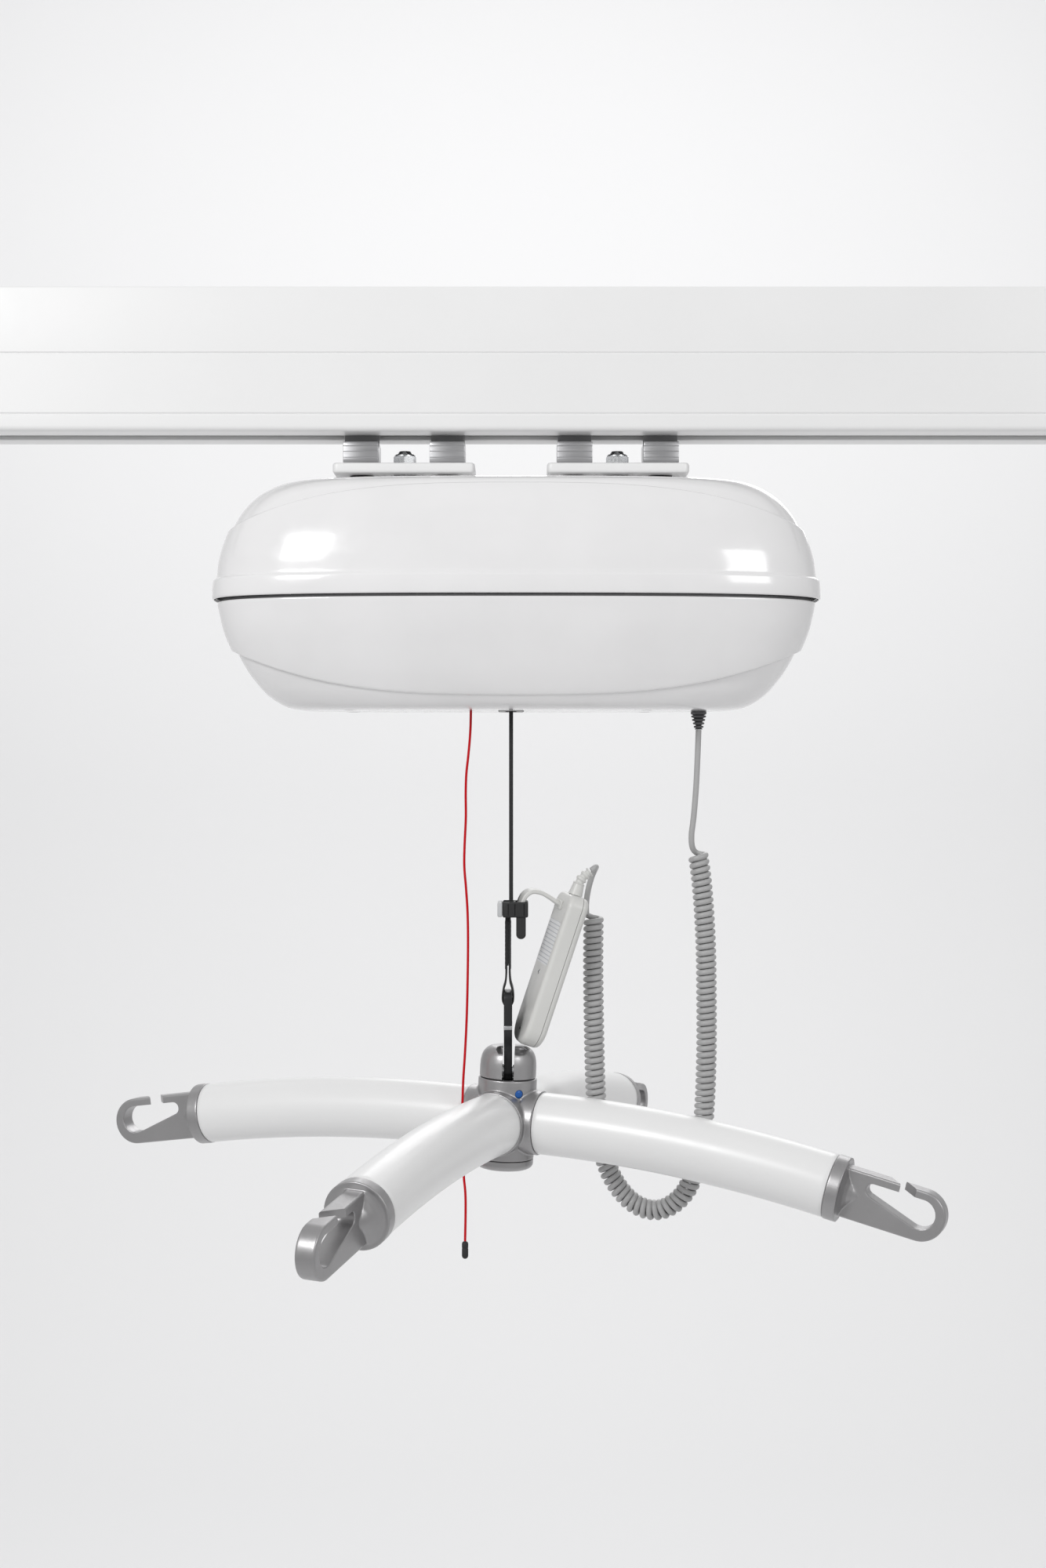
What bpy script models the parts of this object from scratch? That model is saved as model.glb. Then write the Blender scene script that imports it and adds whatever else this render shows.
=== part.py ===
"""Ceiling-track patient lift hoist.

A motor unit hangs from two trolleys in a ceiling rail and winds a webbing strap.
The strap carries a swivelling four-arm spreader bar, and a hand control hangs
from a clip on the strap by its curly cord. A red cord works the emergency lowering.

Metres, +Z up, +X along the rail. The origin is the centre of the rail's top face.
"""
import math

import bpy
import bmesh
from mathutils import Matrix, Vector

GAP = 0.0003                    # air between two pieces that touch

# Ceiling rail
RAIL_LENGTH = 1.0
RAIL_WIDTH = 0.075
RAIL_HEIGHT = 0.1154
RAIL_WALL = 0.0035
RAIL_WEB_Z = -0.0532            # middle of the web between the two chambers
RAIL_WEB = 0.003
RAIL_LIP = 0.004
RAIL_SLOT = 0.024
RAIL_GROOVES = (-0.0532, -0.1018)
END_CAP = 0.004
BUFFER_LENGTH = 0.012

# Trolleys
TROLLEY_X = 0.0866              # trolley centre from the strap
AXLE_SPACING = 0.070
WHEEL_RADIUS = 0.023
WHEEL_IN, WHEEL_OUT = 0.0145, 0.0285
AXLE_RADIUS = 0.005
AXLE_HALF = 0.031
AXLE_Z = -RAIL_HEIGHT + RAIL_LIP + WHEEL_RADIUS + GAP
BLOCK_X, BLOCK_Y = 0.0285, 0.036
NECK_X, NECK_Y = 0.0270, 0.020
BLOCK_TOP, BLOCK_BOTTOM = -0.1208, -0.1382
NECK_TOP = -0.0790
PLATE_X, PLATE_Y = 0.115, 0.045
PLATE_TOP, PLATE_BOTTOM = -0.1385, -0.1469
PLATE_CORNER = 0.008
STUD_RADIUS = 0.006
NUT_RADIUS = 0.0104             # across the corners of an M12 nut
NUT_HEIGHT = 0.0085
STUD_TOP, STUD_BOTTOM = -0.1268, -0.1740

# Motor casing, as half lengths at each height
CASE_X = 0.0043                 # the casing's middle from the strap
CASE_HALF_LENGTH, CASE_HALF_DEPTH = 0.2470, 0.0880
CASE_DEPTH_FOLLOW = 0.6         # how fast the depth shrinks with the length
CASE_POWER = 3.0                # superellipse exponent in plan
CASE_WALL = 0.003
CASE_POINTS = 40
TOP_SECTIONS = ((-0.2492, 0.2468), (-0.2338, 0.2462), (-0.2322, 0.2432),
                (-0.2150, 0.2408), (-0.1951, 0.2343), (-0.1785, 0.2252),
                (-0.1650, 0.2120), (-0.1560, 0.1950), (-0.1525, 0.1780), (-0.1518, 0.1650))
BOTTOM_SECTIONS = ((-0.2514, 0.2422), (-0.2534, 0.2422), (-0.2745, 0.2375), (-0.2924, 0.2300),
                   (-0.3050, 0.2232), (-0.3142, 0.2167), (-0.3257, 0.2064),
                   (-0.3346, 0.1930), (-0.3378, 0.1802), (-0.3385, 0.1680))
CASE_BOTTOM = -0.3385
SEAL_Z, SEAL_HALF_LENGTH = (-0.2496, -0.2508), 0.2395

# Winding drive inside the casing
DRUM_X, DRUM_Z = 0.0455, -0.2400
CORE_RADIUS, FLANGE_RADIUS, SHAFT_RADIUS = 0.016, 0.0465, 0.006
FLANGE_IN, FLANGE_OUT = 0.0147, 0.0172
STRAP_THICK, STRAP_WIDTH = 0.0032, 0.025
ROLL_RADIUS = DRUM_X - STRAP_THICK / 2 - GAP
WORM_WHEEL_RADIUS = 0.0276
WORM_RADIUS = 0.0072
WORM_Z = DRUM_Z - WORM_WHEEL_RADIUS - WORM_RADIUS - GAP
GEAR_Y = 0.035                  # middle of the worm wheel
MOTOR_RADIUS, MOTOR_LENGTH = 0.026, 0.082
MOTOR_X = 0.0890

# Strap, loop, clip
HANG_X = -0.0025                # middle of the loop, hanger and hub
CLIP_TOP, CLIP_BOTTOM = -0.4935, -0.5060
STRAP_JOIN_Z = -0.5000
BAR_TOP, BAR_BOTTOM = -0.5668, -0.5745
SWING_Z = -0.5707                # the height of the axis that the hanger swings about
HANGER_THICK = 0.0066
HANGER_HALF = 0.020
PIN_Z = -0.632
PIN_RADIUS, PIN_HALF = 0.004, 0.0195

# Spreader, measured from the pin
TILT_FRONT = math.radians(1.6)  # it hangs a little low at the front
TILT_RIGHT = math.radians(2.5)  # and at the right
HEAD_RADIUS, HUB_RADIUS = 0.0230, 0.0239
ARM_Z = -0.040
ARM_AZIMUTH = -21.0             # degrees, of the first of the four arms
ARM_RADIUS, ARM_WALL = 0.025, 0.003
COLLAR_RADIUS, COLLAR_START, COLLAR_END = 0.0260, 0.0186, 0.031
SPIGOT_RADIUS, SPIGOT_LENGTH = 0.0215, 0.019
ARM_END = 0.272                 # radial place of the sleeve's end
ARM_SLOPE = math.radians(11.0)  # fall of the sleeve's end
RING_RADIUS, RING_LENGTH = 0.0255, 0.0100
HOOK_LENGTH, HOOK_HALF, HOOK_THICK = 0.081, 0.0195, 0.015
EYE_FAR, EYE_FAR_RADIUS = (0.0614, 0.0015), 0.0115
EYE_NEAR, EYE_NEAR_RADIUS = (0.0225, 0.0078), 0.0052
MOUTH_X, MOUTH_WIDTH, MOUTH_TURN = 0.0428, 0.0101, math.radians(36.3)

# Hand control, in its own frame: +X out of the keypad, +Z to the cord
HANDSET_CENTRE = (0.0320, -0.0040, -0.5493)
HANDSET_LEAN, HANDSET_YAW = math.radians(18.4), math.radians(13.0)
HANDSET_HALF_WIDTH, HANDSET_HALF_LENGTH = 0.023, 0.064
HANDSET_BACK, HANDSET_SEAM, HANDSET_FRONT = -0.0088, 0.0035, 0.0088
HANDSET_WALL = 0.0025
BUTTON_RADIUS, BUTTON_Z = 0.0062, (0.022, -0.002)

# Curly cord
WIRE_RADIUS, COIL_RADIUS = 0.0024, 0.0085
GLAND_X = 0.1531
TAIL_TOP = ((0.1531, 0.0, -0.3538), (0.1524, 0.0, -0.3720), (0.1512, 0.0, -0.3980),
            (0.1492, 0.0, -0.4236), (0.1472, 0.0, -0.4396), (0.1464, 0.0, -0.4538))
COIL_ROUTE = ((0.1525, 0.0, -0.4541), (0.1560, 0.0, -0.4820), (0.1588, 0.0, -0.5260),
              (0.1595, 0.0, -0.5700), (0.1595, 0.0, -0.6156), (0.1580, 0.0, -0.6600),
              (0.1540, 0.001, -0.6990), (0.1440, 0.003, -0.7290), (0.1290, 0.005, -0.7440),
              (0.1130, 0.008, -0.7470), (0.0960, 0.011, -0.7385), (0.0810, 0.013, -0.7170),
              (0.0725, 0.014, -0.6850), (0.0693, 0.014, -0.6450), (0.0680, 0.014, -0.5900),
              (0.0675, 0.014, -0.5450), (0.0678, 0.014, -0.5070))
TAIL_END = ((0.0618, 0.0140, -0.5055), (0.0618, 0.0145, -0.4960), (0.0634, 0.0146, -0.4850),
            (0.0662, 0.0130, -0.4745), (0.0686, 0.0095, -0.4685), (0.0695, 0.0045, -0.4660),
            (0.0688, 0.0002, -0.4660), (0.0672, -0.0019, -0.4671), (0.0653, -0.0025, -0.4684))

# Red emergency cord
RED_RADIUS = 0.001
RED_ROUTE = ((-0.0325, -0.0150, -0.3123), (-0.0325, -0.0150, -0.3385), (-0.0330, -0.0150, -0.3560),
             (-0.0345, -0.0150, -0.3740), (-0.0362, -0.0150, -0.3900), (-0.0367, -0.0150, -0.4060),
             (-0.0366, -0.0150, -0.4250), (-0.0376, -0.0150, -0.4480), (-0.0378, -0.0150, -0.4650),
             (-0.0364, -0.0150, -0.4830), (-0.0352, -0.0150, -0.5020), (-0.0348, -0.0150, -0.5260),
             (-0.0352, -0.0150, -0.5600), (-0.0360, -0.0151, -0.5900), (-0.0374, -0.0151, -0.6180),
             (-0.0389, -0.0150, -0.6430), (-0.0395, -0.0150, -0.6800), (-0.0384, -0.0151, -0.7130),
             (-0.0370, -0.0152, -0.7290), (-0.0368, -0.0152, -0.7450), (-0.0372, -0.0152, -0.7681))
GRIP_TOP, GRIP_BOTTOM, GRIP_RADIUS = -0.7684, -0.7825, 0.0026


# ---------------------------------------------------------------- tools

def start_scene():
    """Empty the scene and return the collections for the pieces and the cutters."""
    for old in list(bpy.data.objects):
        bpy.data.objects.remove(old, do_unlink=True)
    found = []
    for name in ("patient_lift_hoist", "cutters"):
        group = bpy.data.collections.new(name)
        bpy.context.scene.collection.children.link(group)
        found.append(group)
    return found


def make_material(name, colour, roughness, metallic=0.0):
    made = bpy.data.materials.new(name)
    made.use_nodes = True
    shader = made.node_tree.nodes["Principled BSDF"]
    shader.inputs["Base Color"].default_value = (*colour, 1.0)
    shader.inputs["Roughness"].default_value = roughness
    shader.inputs["Metallic"].default_value = metallic
    return made


def place(obj, parent=None, location=(0, 0, 0), rotation=(0, 0, 0)):
    obj.location = location
    obj.rotation_euler = rotation
    obj.parent = parent
    return obj


def piece(name, data, material, **where):
    """A named sub-part of the hoist."""
    obj = bpy.data.objects.new(name, data)
    PARTS.objects.link(obj)
    if material is not None:
        data.materials.append(material)
    return place(obj, **where)


def cutter(data, **where):
    """A helper shape for a Boolean, which is not part of the hoist."""
    obj = bpy.data.objects.new("cutter", data)
    CUTTERS.objects.link(obj)
    obj.hide_render = True
    obj.display_type = "WIRE"
    return place(obj, **where)


def axis_object(name, location, rotation=(0, 0, 0), parent=None, order="XYZ"):
    empty = bpy.data.objects.new(name, None)
    PARTS.objects.link(empty)
    empty.rotation_mode = order
    empty.hide_render = True
    return place(empty, parent, location, rotation)


def boolean(obj, tool, operation):
    step = obj.modifiers.new(operation.lower(), "BOOLEAN")
    step.operation = operation
    step.object = tool
    step.solver = "EXACT"


def cut(obj, *tools):
    for tool in tools:
        boolean(obj, tool, "DIFFERENCE")
    return obj


def join(obj, *tools):
    for tool in tools:
        boolean(obj, tool, "UNION")
    return obj


def mesh_from(build):
    """A mesh filled in by build(bm)."""
    bm = bmesh.new()
    build(bm)
    mesh = bpy.data.meshes.new("mesh")
    bm.to_mesh(mesh)
    bm.free()
    return mesh


def box(low, high):
    size = [h - l for l, h in zip(low, high)]
    middle = [(h + l) / 2 for l, h in zip(low, high)]
    matrix = Matrix.Translation(middle) @ Matrix.Diagonal((*size, 1.0))
    return mesh_from(lambda bm: bmesh.ops.create_cube(bm, size=1.0, matrix=matrix))


def rod(start, end, radius, end_radius=None, sides=24):
    """A cylinder or cone from one point to another."""
    start, end = Vector(start), Vector(end)
    along = end - start
    matrix = Matrix.Translation((start + end) / 2) @ along.to_track_quat("Z", "Y").to_matrix().to_4x4()
    far_radius = radius if end_radius is None else end_radius
    mesh = mesh_from(lambda bm: bmesh.ops.create_cone(
        bm, cap_ends=True, segments=sides, radius1=radius, radius2=far_radius,
        depth=along.length, matrix=matrix))
    shade(mesh)
    return mesh


def shade(mesh):
    mesh.shade_smooth()
    mesh.set_sharp_from_angle(angle=math.radians(35))


def turned(name, profile, material, sides=24, closed=False, **where):
    """A piece turned about its own Z axis from (radius, height) points, top to bottom."""
    count = len(profile)
    edges = [(i, i + 1) for i in range(count - 1)]
    if closed:
        edges.append((count - 1, 0))
    mesh = bpy.data.meshes.new(name)
    mesh.from_pydata([(r, 0.0, z) for r, z in profile], edges, [])
    obj = piece(name, mesh, material, **where)
    screw = obj.modifiers.new("turn", "SCREW")
    screw.steps = sides
    screw.render_steps = sides
    screw.use_merge_vertices = True
    screw.merge_threshold = 0.00001
    screw.use_smooth_shade = True
    return obj


def flat(outlines, thickness):
    """A 2D curve, filled and extruded: the first outline is the edge, the rest are holes."""
    curve = bpy.data.curves.new("flat", "CURVE")
    curve.dimensions = "2D"
    curve.fill_mode = "BOTH"
    curve.extrude = thickness / 2
    for outline in outlines:
        spline = curve.splines.new("POLY")
        spline.points.add(len(outline) - 1)
        for point, (x, y) in zip(spline.points, outline):
            point.co = (x, y, 0.0, 1.0)
        spline.use_cyclic_u = True
    return curve


def wire(points, radius, resolution=2, radii=None, caps=True):
    """A round tube along a list of points."""
    curve = bpy.data.curves.new("wire", "CURVE")
    curve.dimensions = "3D"
    curve.bevel_depth = radius
    curve.bevel_resolution = resolution
    curve.use_fill_caps = caps
    spline = curve.splines.new("POLY")
    spline.points.add(len(points) - 1)
    for index, (point, co) in enumerate(zip(spline.points, points)):
        point.co = (*co, 1.0)
        point.radius = radii[index] if radii else 1.0
    return curve


def as_mesh(obj):
    """Replace a curve object with the mesh it makes, its caps welded on."""
    bpy.context.view_layer.update()
    graph = bpy.context.evaluated_depsgraph_get()
    mesh = bpy.data.meshes.new_from_object(obj.evaluated_get(graph))
    bm = bmesh.new()
    bm.from_mesh(mesh)
    bmesh.ops.remove_doubles(bm, verts=bm.verts, dist=0.00001)
    bm.to_mesh(mesh)
    bm.free()
    made = bpy.data.objects.new(obj.name, mesh)
    group = obj.users_collection[0]
    group.objects.link(made)
    made.parent = obj.parent
    made.matrix_world = obj.matrix_world
    made.hide_render, made.display_type = obj.hide_render, obj.display_type
    name = obj.name
    bpy.data.objects.remove(obj, do_unlink=True)
    made.name = name
    return made


def arc(centre, radius, start, end, steps):
    """Points on a circular arc between two angles in degrees."""
    found = []
    for i in range(steps + 1):
        angle = math.radians(start + (end - start) * i / steps)
        found.append((centre[0] + radius * math.cos(angle), centre[1] + radius * math.sin(angle)))
    return found


def rounded(low, high, radius, steps=4, lower_radius=None):
    """A rectangle with rounded corners, its two lower corners optionally rounder."""
    low_r = radius if lower_radius is None else lower_radius
    outline = arc((high[0] - radius, high[1] - radius), radius, 0, 90, steps)
    outline += arc((low[0] + radius, high[1] - radius), radius, 90, 180, steps)
    outline += arc((low[0] + low_r, low[1] + low_r), low_r, 180, 270, steps)
    outline += arc((high[0] - low_r, low[1] + low_r), low_r, 270, 360, steps)
    return outline


def round_slot(first, first_radius, second, second_radius, steps=8):
    """The outline around two circles and the straight lines that touch both."""
    dx, dy = second[0] - first[0], second[1] - first[1]
    heading = math.degrees(math.atan2(dy, dx))
    lean = math.degrees(math.acos((first_radius - second_radius) / math.hypot(dx, dy)))
    outline = arc(first, first_radius, heading + lean, heading + 360 - lean, steps)
    return outline + arc(second, second_radius, heading - lean, heading + lean, steps)


def band(points, thickness):
    """The outline of a bent strip drawn along a list of points."""
    left, right = [], []
    for i, (x, y) in enumerate(points):
        before, after = Vector(points[max(i - 1, 0)]), Vector(points[min(i + 1, len(points) - 1)])
        side = (after - before).normalized().orthogonal() * thickness / 2
        left.append((x + side.x, y + side.y))
        right.append((x - side.x, y - side.y))
    return left + right[::-1]


def smooth_route(route, spacing):
    """Points read at an even spacing from a smooth curve through the route's own points."""
    knots = [Vector(p) for p in route]
    knots = [2 * knots[0] - knots[1]] + knots + [2 * knots[-1] - knots[-2]]
    fine = []
    for a, b, c, d in zip(knots, knots[1:], knots[2:], knots[3:]):
        for step in range(24):
            t = step / 24
            fine.append(0.5 * (2 * b + (c - a) * t + (2 * a - 5 * b + 4 * c - d) * t ** 2
                               + (3 * b - a - 3 * c + d) * t ** 3))
    fine.append(knots[-2])
    lengths = [0.0]
    for a, b in zip(fine, fine[1:]):
        lengths.append(lengths[-1] + (b - a).length)
    count = max(2, round(lengths[-1] / spacing))
    found, at = [], 0
    for step in range(count + 1):
        goal = lengths[-1] * step / count
        while at < len(fine) - 2 and lengths[at + 1] < goal:
            at += 1
        share = (goal - lengths[at]) / (lengths[at + 1] - lengths[at])
        found.append(fine[at].lerp(fine[at + 1], share))
    return found


# Extrusions lie in the local XY plane; these turns stand them up.
FACING_X = (math.pi / 2, 0.0, math.pi / 2)      # outline in (Y, Z), thickness along X
FACING_Y = (math.pi / 2, 0.0, 0.0)              # outline in (X, Z), thickness along -Y
ALONG_Y = (-math.pi / 2, 0.0, 0.0)              # a turned piece's axis along +Y


# ---------------------------------------------------------------- ceiling rail

def rail_outline():
    """The rail's section in (Y, Z): a closed chamber above an open trolley channel."""
    half, inner = RAIL_WIDTH / 2, RAIL_WIDTH / 2 - RAIL_WALL
    roof, lip = RAIL_WEB_Z - RAIL_WEB / 2, -RAIL_HEIGHT + RAIL_LIP
    notch, corner, slot = 0.0010, 0.0025, RAIL_SLOT / 2
    right = [(half, 0.0)]
    for z in RAIL_GROOVES:
        right += [(half, z + notch), (half - notch, z), (half, z - notch)]
    right += [(half, -RAIL_HEIGHT + corner), (half - corner, -RAIL_HEIGHT),
              (slot, -RAIL_HEIGHT), (slot, lip), (inner, lip), (inner, roof)]
    return right + [(-y, z) for y, z in reversed(right)]


def make_rail():
    half, inner = RAIL_LENGTH / 2, RAIL_WIDTH / 2 - RAIL_WALL
    chamber = [(-inner, -RAIL_WALL), (inner, -RAIL_WALL),
               (inner, RAIL_WEB_Z + RAIL_WEB / 2), (-inner, RAIL_WEB_Z + RAIL_WEB / 2)]
    piece("rail", flat([rail_outline(), chamber], RAIL_LENGTH), WHITE_PAINT, rotation=FACING_X)
    for name, side in (("rail_end_cap_left", -1), ("rail_end_cap_right", 1)):
        outside = side * (half + GAP)
        x_low, x_high = sorted((outside, outside + side * END_CAP))
        cover = box((x_low, -RAIL_WIDTH / 2, -RAIL_HEIGHT), (x_high, RAIL_WIDTH / 2, 0.0))
        inside = side * (half - BUFFER_LENGTH)
        x_low, x_high = sorted((inside, outside + side * END_CAP / 2))
        stop = box((x_low, -0.032, -0.1100), (x_high, 0.032, -0.0570))
        join(piece(name, cover, GREY_PLASTIC), cutter(stop))


# ---------------------------------------------------------------- trolleys

def make_trolley(side_name, x):
    stud_hole = rod((x, 0, -0.13), (x, 0, -0.16), STUD_RADIUS + 0.0004)
    plate = piece("trolley_plate_" + side_name,
                  flat([rounded((x - PLATE_X / 2, -PLATE_Y / 2), (x + PLATE_X / 2, PLATE_Y / 2),
                                PLATE_CORNER)], PLATE_TOP - PLATE_BOTTOM),
                  WHITE_PAINT, location=(0, 0, (PLATE_TOP + PLATE_BOTTOM) / 2))
    cut(as_mesh(plate), cutter(stud_hole))
    upper = (PLATE_TOP + GAP, PLATE_TOP + GAP + NUT_HEIGHT)
    lower = (PLATE_BOTTOM - GAP - 0.0035, PLATE_BOTTOM - GAP)
    holding = (-0.1610 - GAP - NUT_HEIGHT, -0.1610 - GAP)
    nuts = [cutter(rod((x, 0, a), (x, 0, b), NUT_RADIUS, sides=6)) for a, b in (upper, lower, holding)]
    join(piece("suspension_stud_" + side_name,
               rod((x, 0, STUD_BOTTOM), (x, 0, STUD_TOP), STUD_RADIUS), ZINC), *nuts)
    for place_name, offset in (("outer", -1), ("inner", 1)):
        direction = offset if x < 0 else -offset
        make_axle_set(side_name + "_" + place_name, x + direction * AXLE_SPACING / 2)


def make_axle_set(name, x):
    body = box((x - BLOCK_X / 2, -BLOCK_Y / 2, BLOCK_BOTTOM), (x + BLOCK_X / 2, BLOCK_Y / 2, BLOCK_TOP))
    neck = box((x - NECK_X / 2, -NECK_Y / 2, BLOCK_TOP - 0.004), (x + NECK_X / 2, NECK_Y / 2, NECK_TOP))
    bore = rod((x, -0.03, AXLE_Z), (x, 0.03, AXLE_Z), AXLE_RADIUS + 0.0003)
    block = piece("trolley_block_" + name, body, RAW_ALUMINIUM)
    cut(join(block, cutter(neck)), cutter(bore))
    tread = 0.0015
    half = [(0.0, AXLE_HALF), (AXLE_RADIUS, AXLE_HALF), (AXLE_RADIUS, WHEEL_OUT),
            (WHEEL_RADIUS - tread, WHEEL_OUT), (WHEEL_RADIUS, WHEEL_OUT - tread),
            (WHEEL_RADIUS, WHEEL_IN + tread), (WHEEL_RADIUS - tread, WHEEL_IN), (AXLE_RADIUS, WHEEL_IN)]
    profile = half + [(r, -y) for r, y in reversed(half)]
    turned("wheelset_" + name, profile, BLACK_PLASTIC, sides=20, location=(x, 0, AXLE_Z), rotation=ALONG_Y)


# ---------------------------------------------------------------- casing

def case_ring(half_length):
    """Points of the casing's plan, a superellipse of the given half length."""
    half_depth = CASE_HALF_DEPTH - (CASE_HALF_LENGTH - half_length) * CASE_DEPTH_FOLLOW
    ring = []
    for i in range(CASE_POINTS):
        angle = 2 * math.pi * (i + 0.5) / CASE_POINTS
        c, s = math.cos(angle), math.sin(angle)
        ring.append((CASE_X + half_length * math.copysign(abs(c) ** (2 / CASE_POWER), c),
                     half_depth * math.copysign(abs(s) ** (2 / CASE_POWER), s)))
    return ring


def case_skin(sections, cap=True):
    """An open cup through the sections, closed over the last of them."""
    def build(bm):
        rings = [[bm.verts.new((x, y, z)) for x, y in case_ring(a)] for z, a in sections]
        upward = sections[-1][0] > sections[0][0]
        for low, high in zip(rings, rings[1:]):
            for i in range(CASE_POINTS):
                j = (i + 1) % CASE_POINTS
                corners = (low[i], low[j], high[j], high[i])
                bm.faces.new(corners if upward else corners[::-1])
        if cap:
            bm.faces.new(rings[-1] if upward else rings[-1][::-1])
    mesh = mesh_from(build)
    shade(mesh)
    return mesh


def make_case():
    holes = {"top_cover": [((side * TROLLEY_X, 0), NUT_RADIUS + 0.002, -0.140) for side in (-1, 1)],
             "bottom_cover": [((RED_ROUTE[0][0], RED_ROUTE[0][1]), 0.0025, -0.332),
                              ((GLAND_X, 0), 0.0056, -0.332)]}
    for name, sections in (("top_cover", TOP_SECTIONS), ("bottom_cover", BOTTOM_SECTIONS)):
        cover = piece(name, case_skin(sections), GLOSS_WHITE)
        wall = cover.modifiers.new("wall", "SOLIDIFY")
        wall.thickness = CASE_WALL
        wall.offset = -1.0
        for (x, y), radius, z in holes[name]:
            cut(cover, cutter(rod((x, y, z - 0.018), (x, y, z + 0.002), radius)))
        if name == "bottom_cover":
            cut(cover, cutter(box((-0.0103, -0.0213, -0.36), (0.0103, 0.0213, -0.33))))
    seal = piece("casing_seal", case_skin([(z, SEAL_HALF_LENGTH) for z in SEAL_Z], cap=False), GREY_PLASTIC)
    wall = seal.modifiers.new("wall", "SOLIDIFY")
    wall.thickness = 0.003
    wall.offset = -1.0


# ---------------------------------------------------------------- winding drive

def make_chassis():
    """A deck hung on the two studs, with two cheeks that carry the drum."""
    deck = box((-0.115, -0.036, -0.1610), (0.125, 0.036, -0.1580))
    chassis = piece("chassis", deck, GREY_STEEL)
    for y in (-0.0235, 0.0205):
        join(chassis, cutter(box((DRUM_X - 0.0425, y, -0.300), (DRUM_X + 0.0425, y + 0.003, -0.1590))))
    for x in (-TROLLEY_X, TROLLEY_X):
        cut(chassis, cutter(rod((x, 0, -0.150), (x, 0, -0.170), STUD_RADIUS + 0.0004)))
    cut(chassis, cutter(rod((DRUM_X, -0.03, DRUM_Z), (DRUM_X, 0.03, DRUM_Z), SHAFT_RADIUS + GAP)))


def make_drum():
    axis = {"location": (DRUM_X, 0, DRUM_Z), "rotation": ALONG_Y}
    turned("drum", [(0, 0.047), (SHAFT_RADIUS, 0.047), (SHAFT_RADIUS, FLANGE_OUT),
                    (FLANGE_RADIUS, FLANGE_OUT), (FLANGE_RADIUS, FLANGE_IN), (CORE_RADIUS, FLANGE_IN),
                    (CORE_RADIUS, -FLANGE_IN), (FLANGE_RADIUS, -FLANGE_IN), (FLANGE_RADIUS, -FLANGE_OUT),
                    (SHAFT_RADIUS, -FLANGE_OUT), (SHAFT_RADIUS, -0.028), (0, -0.028)], GREY_STEEL, **axis)
    half = STRAP_WIDTH / 2
    turned("wound_strap", [(CORE_RADIUS + GAP, half), (ROLL_RADIUS, half), (ROLL_RADIUS, -half),
                           (CORE_RADIUS + GAP, -half)], WEBBING, sides=32, closed=True, **axis)
    top, low = GEAR_Y + 0.007, GEAR_Y - 0.007
    turned("worm_wheel", [(SHAFT_RADIUS + GAP, top), (WORM_WHEEL_RADIUS, top), (WORM_WHEEL_RADIUS, low),
                          (SHAFT_RADIUS + GAP, low)], BRONZE, closed=True, **axis)


def make_gearbox():
    housing = box((DRUM_X - 0.036, 0.0240, WORM_Z - 0.0125), (DRUM_X + 0.0425, 0.0490, DRUM_Z + 0.034))
    gearbox = piece("gearbox_housing", housing, RAW_ALUMINIUM)
    cut(gearbox,
        cutter(rod((DRUM_X, 0.0, DRUM_Z), (DRUM_X, 0.0475, DRUM_Z), WORM_WHEEL_RADIUS + 0.0015)),
        cutter(rod((DRUM_X - 0.031, GEAR_Y, WORM_Z), (0.1, GEAR_Y, WORM_Z), WORM_RADIUS + 0.0010)))
    piece("worm_shaft", rod((-0.029, 0, 0), (MOTOR_X - GAP - DRUM_X, 0, 0), WORM_RADIUS), GREY_STEEL,
          location=(DRUM_X, GEAR_Y, WORM_Z))
    piece("motor", rod((MOTOR_X, GEAR_Y, WORM_Z), (MOTOR_X + MOTOR_LENGTH, GEAR_Y, WORM_Z), MOTOR_RADIUS),
          BLACK_PLASTIC)


def make_electrics():
    piece("battery_pack", box((-0.175, -0.046, -0.306), (-0.080, 0.046, -0.222)), BLACK_PLASTIC)
    piece("control_board", box((-0.165, -0.030, -0.2000), (-0.070, 0.030, -0.1984)), BOARD_GREEN)


def make_outlets():
    """The strap's guide and the curly cord's ribbed gland, both in the bottom cover."""
    guide = piece("strap_guide", box((-0.0100, -0.0210, -0.3400), (0.0100, 0.0210, -0.3300)), GREY_PLASTIC)
    cut(guide, cutter(box((-0.0045, -0.0150, -0.35), (0.0045, 0.0150, -0.32))))
    ribs = [(0.0, 0.012), (0.0052, 0.012), (0.0052, -0.0005), (0.0064, -0.0005), (0.0064, -0.0025)]
    for step in range(4):
        top, radius = -0.0035 - step * 0.0028, 0.0060 - step * 0.0007
        ribs += [(radius - 0.0018, top), (radius, top - 0.0006), (radius, top - 0.0016),
                 (radius - 0.0018, top - 0.0022)]
    turned("cord_gland", ribs + [(0.0030, -0.0150), (0.0, -0.0150)], DARK_PLASTIC, sides=16,
           location=(GLAND_X, 0, CASE_BOTTOM))


def make_emergency_lowering():
    x, y, _ = RED_ROUTE[0]
    piece("lowering_lever", box((x - 0.025, y - 0.004, -0.3120), (x + 0.005, y + 0.004, -0.3060)), RED_PLASTIC)
    piece("emergency_cord", wire(smooth_route(RED_ROUTE, 0.0085), RED_RADIUS), RED_PLASTIC)
    x, y, _ = RED_ROUTE[-1]
    r = GRIP_RADIUS
    turned("emergency_cord_grip", [(0, GRIP_TOP), (r, GRIP_TOP), (r, GRIP_BOTTOM + r),
                                   (r * 0.7, GRIP_BOTTOM + r * 0.3), (0, GRIP_BOTTOM)],
           BLACK_RUBBER, sides=12, location=(x, y, 0))


# ---------------------------------------------------------------- strap and hanger

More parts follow.
